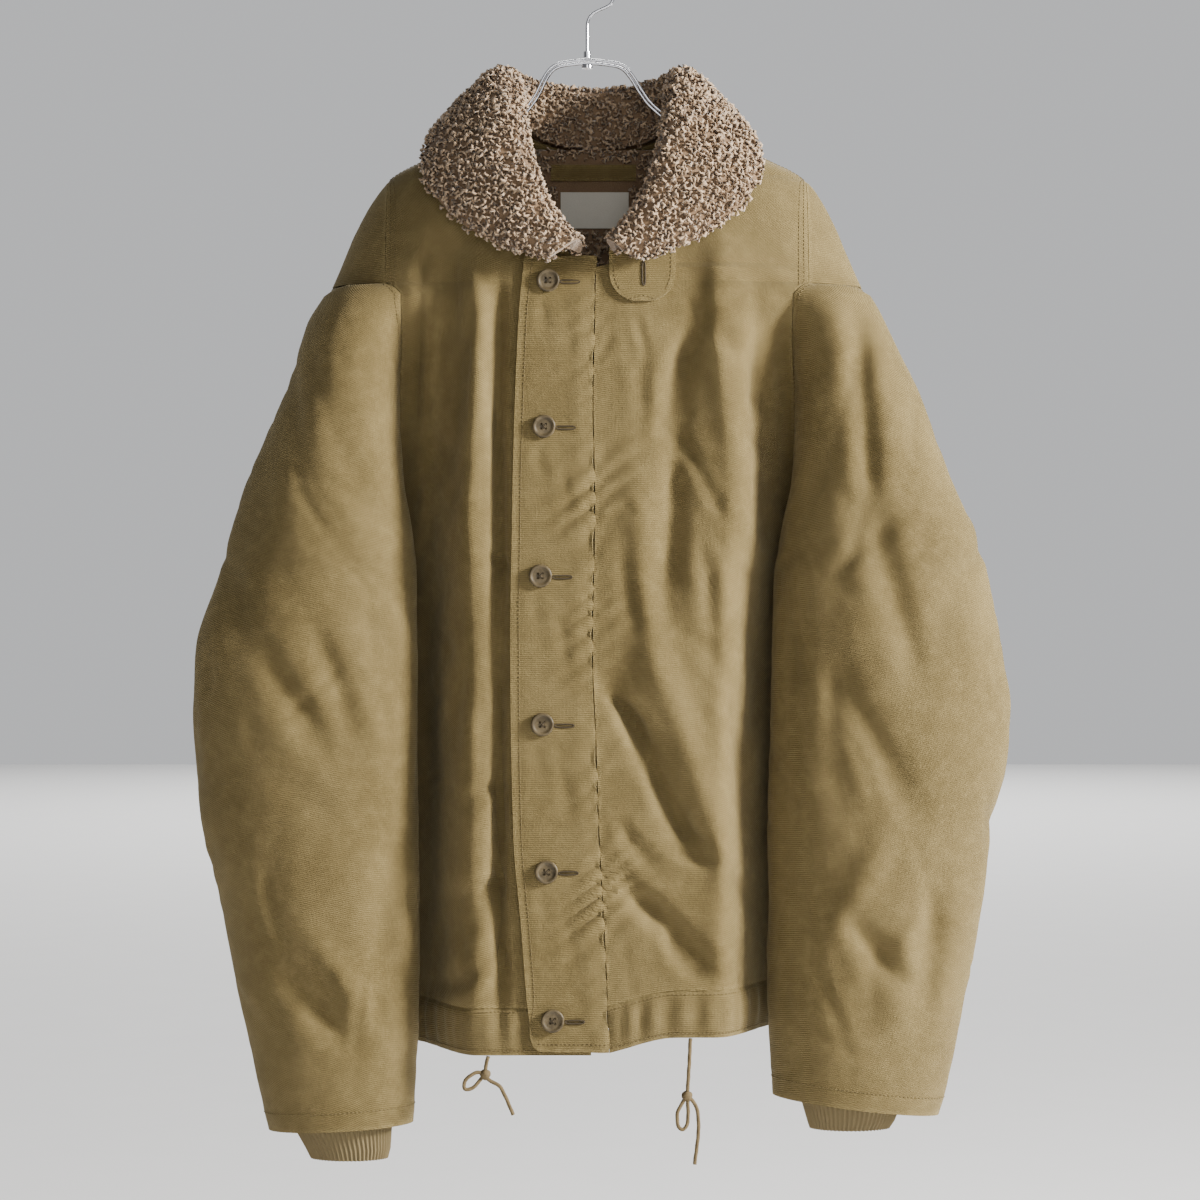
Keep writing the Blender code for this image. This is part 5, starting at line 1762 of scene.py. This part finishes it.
def stitch_shape(length=2.5, radius=0.42):
    """One stitch lying along X: a small capsule."""
    profile = [
        (0, -length / 2),
        (radius * 0.8, -length * 0.36),
        (radius, 0),
        (radius * 0.8, length * 0.36),
        (0, length / 2),
    ]
    points, faces = turned(profile, 6, (0, 0, 0))
    lying = [(y, x, z) for x, y, z in points]
    return hidden_object("stitch_shape", mesh_in_metres("stitch_shape", lying, faces))


def add_stitches(name, routes, material):
    points = []
    edges = []
    for route in routes:
        start = len(points)
        points += list(route)
        edges += [(k, k + 1) for k in range(start, len(points) - 1)]
    mesh = mesh_in_metres(name + "_lines", points, [], edges)
    stitch = stitch_shape()
    lines = hidden_object(name + "_lines", mesh)
    made = baked(lines, stitch_tree(stitch, material), name, material)
    bpy.data.objects.remove(stitch, do_unlink=True)
    return made


def curl_shape():
    """One curl of pile: a short tube bent into a hook, standing on its root."""
    route = []
    for t in np.linspace(0, 1, 5):
        angle = math.pi * (1.45 * t - 0.15)
        height = 0.22 + 0.36 * math.sin(angle) + 0.12 * t
        route.append((0.40 * math.cos(angle), 0.25 * math.sin(2.2 * angle), height))
    sections = []
    for k, point in enumerate(route):
        run = np.array(route[min(k + 1, 4)]) - np.array(route[max(k - 1, 0)])
        run = run / np.linalg.norm(run)
        first = np.cross(run, (0, 1, 0))
        first /= np.linalg.norm(first)
        second = np.cross(run, first)
        radius = (0.18, 0.23, 0.25, 0.23, 0.13)[k]
        ring = []
        for j in range(3):
            angle = 2 * math.pi * j / 3 + 0.4 * k
            ring.append(np.array(point) + radius * (first * math.cos(angle) + second * math.sin(angle)))
        sections.append(ring)
    points, faces = swept(sections)
    mesh = bpy.data.meshes.new("curl_shape")
    mesh.from_pydata([tuple(point) for point in points], [], [tuple(map(int, face)) for face in faces])
    height = mesh.attributes.new("curl_height", "FLOAT", "POINT")
    height.data.foreach_set("value", np.clip(np.array(points)[:, 2] / 0.9, 0, 1).astype(np.float32))
    obj = hidden_object("curl_shape", mesh)
    if outward_volume(obj) < 0:
        mesh.flip_normals()
    return obj


def curl_tree(curl, material, density, seed):
    tree, given, out = node_tree("pile_curls", {
        "Density": density, "Spacing": 0.56 * CURL_SIZE * MM, "Size": CURL_SIZE * MM, "Seed": seed,
    })
    nodes = tree.nodes
    links = tree.links
    spread = nodes.new("GeometryNodeDistributePointsOnFaces")
    spread.distribute_method = "POISSON"
    shape = nodes.new("GeometryNodeObjectInfo")
    shape.inputs["Object"].default_value = curl
    instance = nodes.new("GeometryNodeInstanceOnPoints")
    spin = nodes.new("FunctionNodeRandomValue")
    spin.data_type = "FLOAT_VECTOR"
    spin.inputs[0].default_value = (-0.55, -0.55, 0)
    spin.inputs[1].default_value = (0.55, 0.55, 2 * math.pi)
    turn = nodes.new("FunctionNodeRotateEuler")
    turn.space = "LOCAL"
    scale = nodes.new("FunctionNodeRandomValue")
    scale.data_type = "FLOAT"
    scale.inputs[2].default_value = 0.75
    scale.inputs[3].default_value = 1.3
    sized = nodes.new("ShaderNodeMath")
    sized.operation = "MULTIPLY"
    tone = nodes.new("FunctionNodeRandomValue")
    tone.data_type = "FLOAT"
    store = nodes.new("GeometryNodeStoreNamedAttribute")
    store.data_type = "FLOAT"
    store.domain = "INSTANCE"
    store.inputs["Name"].default_value = "curl_tone"
    real = nodes.new("GeometryNodeRealizeInstances")
    finish = nodes.new("GeometryNodeSetMaterial")
    finish.inputs["Material"].default_value = material
    links.new(given.outputs["Geometry"], spread.inputs["Mesh"])
    links.new(given.outputs["Density"], spread.inputs["Density Max"])
    links.new(given.outputs["Spacing"], spread.inputs["Distance Min"])
    for node in (spread, spin, scale, tone):
        links.new(given.outputs["Seed"], node.inputs["Seed"])
    links.new(spread.outputs["Rotation"], turn.inputs["Rotation"])
    links.new(spin.outputs["Value"], turn.inputs["Rotate By"])
    links.new(scale.outputs[1], sized.inputs[0])
    links.new(given.outputs["Size"], sized.inputs[1])
    links.new(spread.outputs["Points"], instance.inputs["Points"])
    links.new(shape.outputs["Geometry"], instance.inputs["Instance"])
    links.new(turn.outputs["Rotation"], instance.inputs["Rotation"])
    links.new(sized.outputs[0], instance.inputs["Scale"])
    links.new(instance.outputs["Instances"], store.inputs["Geometry"])
    links.new(tone.outputs[1], store.inputs["Value"])
    links.new(store.outputs["Geometry"], real.inputs["Geometry"])
    links.new(real.outputs["Geometry"], finish.inputs["Geometry"])
    links.new(finish.outputs["Geometry"], out.inputs["Geometry"])
    return tree


def add_curls(name, points, faces, density, seed, material):
    """Curls spread over the given faces, in millimetres."""
    mesh = mesh_in_metres(name + "_ground", points, faces)
    curl = curl_shape()
    ground = hidden_object(name + "_ground", mesh)
    made = baked(ground, curl_tree(curl, material, density, seed), name, material)
    bpy.data.objects.remove(curl, do_unlink=True)
    return made


def add_collar_finish(base_material, curl_material):
    """The collar's thick wall with soft clumps, and curls on the side that shows."""
    stations = np.linspace(-1, 1, COLLAR_FINE_STATIONS)
    sections = np.array([collar_section(t) for t in stations])
    clump = soft_noise(sections, 16, 3.3) + 0.5 * soft_noise(sections, 7, 8.1)
    around = np.roll(sections, -1, axis=1) - np.roll(sections, 1, axis=1)
    normals = np.cross(np.gradient(sections, axis=0), around)
    normals /= np.linalg.norm(normals, axis=2, keepdims=True) + 1e-9
    sections = sections + normals * (0.9 * clump)[:, :, None]
    points, faces = swept(list(sections))
    collar = finish_mesh("collar_pile_base", points, faces, base_material, "pile")
    if outward_volume(collar) < 0:
        collar.data.flip_normals()
    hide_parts("collar")
    count = 2 * COLLAR_STEPS
    last_end = (COLLAR_FINE_STATIONS - COLLAR_END_STATIONS) * count
    shown = []
    for face in collar.data.polygons:
        corners = list(face.vertices)
        if len(corners) != 4:
            continue
        near_end = min(corners) < COLLAR_END_STATIONS * count or max(corners) >= last_end
        on_face = [near_end or k % count >= COLLAR_STEPS - 1 or k % count == 0 for k in corners]
        if all(on_face):
            shown.append(tuple(corners))
    curls = add_curls("collar_curls", points, shown, COLLAR_CURL_DENSITY, 7, curl_material)


def add_lining_finish(base_material, curl_material):
    panel = Panel(lining_rows(), 1)
    patch = panel.patch()
    obj = finish_wall("back_lining_base", patch, base_material, "pile", LINING_THICK, LINING_THICK)
    face_points = patch.points + patch.normals * LINING_THICK
    shown = []
    for quad in patch.quads:
        x, _, z = face_points[quad].mean(axis=0)
        covered = False
        for low, high, top, bottom in (LOOP_BOX, LABEL_BOX):
            covered = covered or (low - 3 < x < high + 3 and bottom - 3 < z < top + 3)
        if not covered:
            shown.append(tuple(quad))
    curls = add_curls("lining_curls", face_points, shown, LINING_CURL_DENSITY, 9, curl_material)
    declare_cloth(obj, "back_lining", panel)


def button_mesh(name, material, x, face, z):
    """A button with a rim and four drilled holes, its back at y = face."""
    points, faces = turned(BUTTON_PROFILE, 48, (x, face, z))
    obj = finish_mesh(name, points, faces, material, "button")
    if outward_volume(obj) < 0:
        obj.data.flip_normals()
    drill_points = []
    drill_faces = []
    for across in (-BUTTON_HOLE_OUT, BUTTON_HOLE_OUT):
        for up in (-BUTTON_HOLE_OUT, BUTTON_HOLE_OUT):
            rings = []
            for y in (face + 1.5, face - 5):
                ring = []
                for angle in np.linspace(0, 2 * math.pi, 12, endpoint=False):
                    hole_x = x + across + BUTTON_HOLE_RADIUS * math.cos(angle)
                    hole_z = z + up + BUTTON_HOLE_RADIUS * math.sin(angle)
                    ring.append((hole_x, y, hole_z))
                rings.append(ring)
            hole_points, hole_faces = swept(rings)
            base = len(drill_points)
            drill_points += list(hole_points)
            drill_faces += [[v + base for v in hole_face] for hole_face in hole_faces]
    mesh = mesh_in_metres(name + "_drill", drill_points, drill_faces)
    drill = hidden_object(name + "_drill", mesh)
    if outward_volume(drill) < 0:
        mesh.flip_normals()
    cut = obj.modifiers.new("holes", "BOOLEAN")
    cut.operation = "DIFFERENCE"
    cut.solver = "EXACT"
    cut.object = drill
    graph = bpy.context.evaluated_depsgraph_get()
    made = bpy.data.meshes.new_from_object(obj.evaluated_get(graph), depsgraph=graph)
    obj.modifiers.clear()
    obj.data = made
    bpy.data.objects.remove(drill, do_unlink=True)
    made.set_sharp_from_angle(angle=SHARP_ANGLE)
    return obj


def add_button_finish(material, thread):
    """Buttons with four holes and their crossed thread."""
    for number, (x, z) in enumerate(BUTTONS, 1):
        face = front_y(x, z) - CLOTH - 3 * LAYER_GAP - 0.25
        obj = button_mesh(f"button_{number}_turned", material, x, face, z)
        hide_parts(f"button_{number}")
        for name, rise in (("a", 1), ("b", -1)):
            route = []
            for t in np.linspace(0, 1, 9):
                px = BUTTON_HOLE_OUT * t - BUTTON_HOLE_OUT * (1 - t)
                into_hole = 1.1 * (abs(2 * t - 1) > 0.9)
                y = face - 2.55 - 0.35 * math.sin(math.pi * t) + into_hole
                route.append((x + px, y, z + rise * px))
            capped_mesh(f"button_{number}_thread_{name}", route, 0.42, 6, thread, "canvas")


def buttonhole(x_low, x_high, z, y_of, upright=False):
    """The route of one buttonhole's thread edge: a long thin ring round the slot."""
    route = []
    half = (x_high - x_low) / 2
    middle = (x_low + x_high) / 2
    for angle in np.linspace(0, 2 * math.pi, 41):
        a = middle + half * np.sign(math.cos(angle)) * abs(math.cos(angle)) ** 0.45
        b = z + BUTTONHOLE_HALF * math.sin(angle)
        px, pz = (b, a) if upright else (a, b)
        route.append((px, y_of(px, pz) - 0.25, pz))
    return route


def closed_tube(name, route, diameter, material):
    """A wire whose two ends meet, as a plain mesh."""
    curve = bpy.data.curves.new(name + "_line", "CURVE")
    curve.dimensions = "3D"
    curve.bevel_depth = diameter / 2 * MM
    curve.bevel_resolution = 4
    spline = curve.splines.new("POLY")
    spline.points.add(len(route) - 1)
    for point, place_at in zip(spline.points, route):
        point.co = (*(np.array(place_at) * MM), 1)
    spline.use_cyclic_u = True
    line = hidden_object(name + "_line", curve)
    graph = bpy.context.evaluated_depsgraph_get()
    mesh = bpy.data.meshes.new_from_object(line.evaluated_get(graph), depsgraph=graph)
    bpy.data.objects.remove(line, do_unlink=True)
    mesh.materials.clear()
    mesh.materials.append(material)
    mesh.shade_smooth()
    obj = hidden_object(name, mesh)
    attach(obj, "root")
    return obj


def add_hanger_finish(material):
    """The wire hanger again with a finer line, in chrome."""
    wire = closed_tube("wire_bright", hanger_route(), HANGER_WIRE, material)
    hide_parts("hanger_wire")
    hook = capped_mesh("hook_bright", smooth_route(hook_route(), 2.2), HOOK_WIRE / 2, 20, material, "chrome")
    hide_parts("hanger_hook")
    ends = (HANGER_TOP_Z + FERRULE_GAP, HOOK_FOOT_Z - FERRULE_GAP)
    shape = cylinder_up(FERRULE_RADIUS, *ends, ROUND_STEPS)
    ferrule = finish_mesh("ferrule_bright", *shape, material, "chrome")
    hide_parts("hanger_ferrule")
    ends = [HANGER_TOP_Z - drop for drop in RIVET_DROP]
    shape = cylinder_up(RIVET_RADIUS, *ends, ROUND_STEPS)
    rivet = finish_mesh("rivet_bright", *shape, material, "chrome")
    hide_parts("hanger_rivet")
    for obj in (ferrule, rivet):
        if outward_volume(obj) < 0:
            obj.data.flip_normals()


def add_cord_finish(material):
    """Each drawcord: from the casing through its knot to the tail, and the bow's loop from the knot."""
    for side, cord in DRAWCORDS.items():
        name = SIDE_NAMES[side]
        y = front_y(cord["lead"][0][0], HEM_Z) + CLOTH / 2
        x, z = cord["knot"]
        lead = [(px, y + back, pz) for px, pz, back in cord["lead"]]
        tail = [(px, y + back, pz) for px, pz, back in cord["tail"]]
        loop = [(px, y + back, pz) for px, pz, back in cord["loop"]]
        points, faces = turned(KNOT_PROFILE, 28, (x, y, z))
        points = np.array(points)
        turn = np.arctan2(points[:, 2] - z, points[:, 0] - x)
        swirl = 1 + 0.10 * np.sin(3 * turn + 1.4 * (points[:, 1] - y))
        points[:, 0] = x + (points[:, 0] - x) * swirl
        points[:, 2] = z + (points[:, 2] - z) * swirl
        knot = finish_mesh(f"cord_knot_{name}", points, faces, material, "drawcord")
        if outward_volume(knot) < 0:
            knot.data.flip_normals()
        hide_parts(f"drawcord_knot_{name}")
        whole = smooth_route(lead + [(x, y, z)] + tail, 0.9)
        main = capped_mesh(f"cord_main_{name}", whole, CORD / 2, 14, material, "drawcord", 0.55, 0.07)
        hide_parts(f"drawcord_lead_{name}", f"drawcord_tail_{name}")
        ring = smooth_route([(x, y, z)] + loop + [(x, y, z)], 0.9)
        bow = capped_mesh(f"cord_bow_{name}", ring, CORD / 2 - 0.02, 14, material, "drawcord", 0.55, 0.07)
        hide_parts(f"drawcord_loop_{name}")


def add_light_and_floor():
    world = bpy.data.worlds.new("pale")
    world.use_nodes = True
    background = world.node_tree.nodes["Background"]
    background.inputs["Color"].default_value = (0.87, 0.88, 0.9, 1)
    nodes = world.node_tree.nodes
    links = world.node_tree.links
    parts = nodes.new("ShaderNodeSeparateXYZ")
    links.new(nodes.new("ShaderNodeTexCoord").outputs["Generated"], parts.inputs[0])
    strength = ramp(nodes, links, parts.outputs["Y"], -0.2, 0.7, WORLD_FRONT, WORLD_BEHIND)
    links.new(strength, background.inputs["Strength"])
    bpy.context.scene.world = world
    floor_mesh = bpy.data.meshes.new("floor")
    turns = ((-1, -1), (1, -1), (1, 1), (-1, 1))
    corners = [(x * FLOOR_REACH, y * FLOOR_REACH, FLOOR_Z * MM) for x, y in turns]
    floor_mesh.from_pydata(corners, [], [(0, 1, 2, 3)])
    floor_mesh.materials.append(plain_material("pale_floor", (0.84, 0.84, 0.84)))
    floor = hidden_object("floor", floor_mesh)
    for name, place_at, size, energy, colour in LIGHTS:
        data = bpy.data.lights.new(name, "AREA")
        data.shape = "DISK"
        data.size = size
        data.energy = energy
        data.color = colour
        light = bpy.data.objects.new(name, data)
        light.location = Vector(place_at) * MM
        aim = Vector(LIGHTS_AIM) * MM - light.location
        light.rotation_euler = aim.to_track_quat("-Z", "Y").to_euler()
        bpy.context.scene.collection.objects.link(light)


def on_lining(x, z):
    return back_inside_y(x - GARMENT_MIDDLE_X, z) - LINING_THICK


def on_flap(x, z):
    return front_y(x, z) - CLOTH - LAYER_GAP - 0.1


def on_tab(x, z):
    return front_y(x, z) + flap_step(WEARER_LEFT, x) - CLOTH - LAYER_GAP - 0.1


add_camera()
cloth = canvas_material("canvas_cloth")
casing_cloth = canvas_material("canvas_casing", 0.94)
trim_cloth = canvas_material("canvas_trim", 1.04)
pile_base = pile_material("pile_base", False)
pile_curl = pile_material("pile_curl")
knit = yarn_material("knit_yarn", (0.19, 0.145, 0.070), (0.11, 0.082, 0.038), 1100)
label_tape = yarn_material("label_tape", (0.72, 0.69, 0.60), (0.52, 0.48, 0.40), 1600, 0.8)
thread = yarn_material("sewing_thread", (0.17, 0.125, 0.050), (0.09, 0.064, 0.024), 2200, 0.7)
button_thread = yarn_material("button_thread", (0.06, 0.044, 0.022), (0.03, 0.02, 0.01), 2200, 0.7)
cord_yarn = yarn_material("cord_yarn", (0.17, 0.125, 0.06), (0.08, 0.055, 0.026), 1500)
chrome = chrome_material("chrome_bright")
horn = button_material("button_horn")

add_cord_finish(cord_yarn)

fronts = {side: front_panel(side) for side in SIDE_NAMES}
back = back_panel()
sleeves = {side: sleeve_panel(side) for side in SIDE_NAMES}
casings = {side: casing_panel(side, fronts[side]) for side in SIDE_NAMES}
back_casing = casing_panel(None, back)
panels = {}
for side, name in SIDE_NAMES.items():
    panels["front_" + name] = (fronts[side], cloth)
    panels["sleeve_" + name] = (sleeves[side], cloth)
    panels["hem_casing_" + name] = (casings[side], casing_cloth)
panels["back"] = (back, cloth)
panels["hem_casing_back"] = (back_casing, casing_cloth)
patches = {node: panel.patch() for node, (panel, _) in panels.items()}
sew(list(patches.values()))
for node, patch in patches.items():
    panel, material = panels[node]
    obj = finish_wall(node + "_cloth", patch, material, "canvas")
    declare_cloth(obj, node, panel)

flap = flap_panel()
flap_patch = flap.patch()
flap_obj = finish_wall("wind_flap_cloth", flap_patch, trim_cloth, "canvas", CLOTH, CLOTH + LAYER_GAP)
declare_cloth(flap_obj, "wind_flap", flap)
tab = Panel(tab_rows(), 1)
tab_obj = finish_wall("chin_tab_cloth", tab.patch(), trim_cloth, "canvas", CLOTH, CLOTH + LAYER_GAP)
declare_cloth(tab_obj, "chin_tab", tab)
loop = Panel(strip_rows(*LOOP_BOX, 9, 36, on_lining), 1)
loop_obj = finish_wall(
    "hanger_loop_cloth", loop.patch(), trim_cloth, "canvas", LOOP_THICK, LOOP_THICK + TRIM_GAP
)
declare_cloth(loop_obj, "hanger_loop", loop)
label = Panel(strip_rows(*LABEL_BOX, 16, 30, on_lining), 1)
label_obj = finish_wall(
    "size_label_tape", label.patch(), label_tape, "label", LABEL_THICK, LABEL_THICK + TRIM_GAP
)
declare_cloth(label_obj, "size_label", label)
for side, name in SIDE_NAMES.items():
    cuff = cuff_panel(side)
    cuff_obj = finish_wall(f"knit_cuff_{name}_ribbed", cuff.patch(), knit, "knit", CUFF_THICK - 0.6)
    declare_cloth(cuff_obj, f"knit_cuff_{name}", cuff)

add_collar_finish(pile_base, pile_curl)
add_lining_finish(pile_base, pile_curl)
add_button_finish(horn, button_thread)
add_hanger_finish(chrome)

# Seam lines
trim_lift = CLOTH + LAYER_GAP + STITCH_LIFT
trim_routes = [
    flap.route("left", 6.5, trim_lift, start=0.0, end=0.99),
    flap.route("bottom", 6.0, trim_lift, start=0.15, end=1.0),
    flap.route("top", TRIM_STITCH, trim_lift),
    tab.route("left", TRIM_STITCH, trim_lift, start=0.05, end=0.8),
    tab.route("right", TRIM_STITCH, trim_lift, start=0.05, end=0.8),
    tab.route("top", TRIM_STITCH, trim_lift, start=0.05, end=0.95),
    tab.route("bottom", TRIM_STITCH, trim_lift, start=0.15, end=0.85),
]
body_routes = []
for side in SIDE_NAMES:
    body_routes += [
        sleeves[side].route("bottom", HEM_STITCH, 0.15),
        sleeves[side].route("left", 5.0, STITCH_LIFT, start=0.0, end=0.42),
        casings[side].route("top", 3.0, CASING_STITCH_LIFT),
        casings[side].route("bottom", 4.0, CASING_STITCH_LIFT),
        fronts[side].route("right", 4.0, STITCH_LIFT, start=0.03, end=0.19),
        fronts[side].route("right", 8.5, STITCH_LIFT, start=0.03, end=0.185),
    ]
body_routes += [
    back_casing.route("top", 3.0, CASING_STITCH_LIFT),
    back_casing.route("bottom", 4.0, CASING_STITCH_LIFT),
]
add_stitches("trim_stitches", trim_routes, thread)
add_stitches("body_stitches", body_routes, thread)


holes = [buttonhole(x + 9.5, x + 25, z - 1, on_flap) for x, z in BUTTONS]
holes.append(buttonhole(-271, -252, TAB_MIDDLE_X + 1, on_tab, upright=True))
for number, route in enumerate(holes, 1):
    capped_mesh(f"buttonhole_edge_{number}", route, 0.62, 7, button_thread, "canvas")

add_light_and_floor()
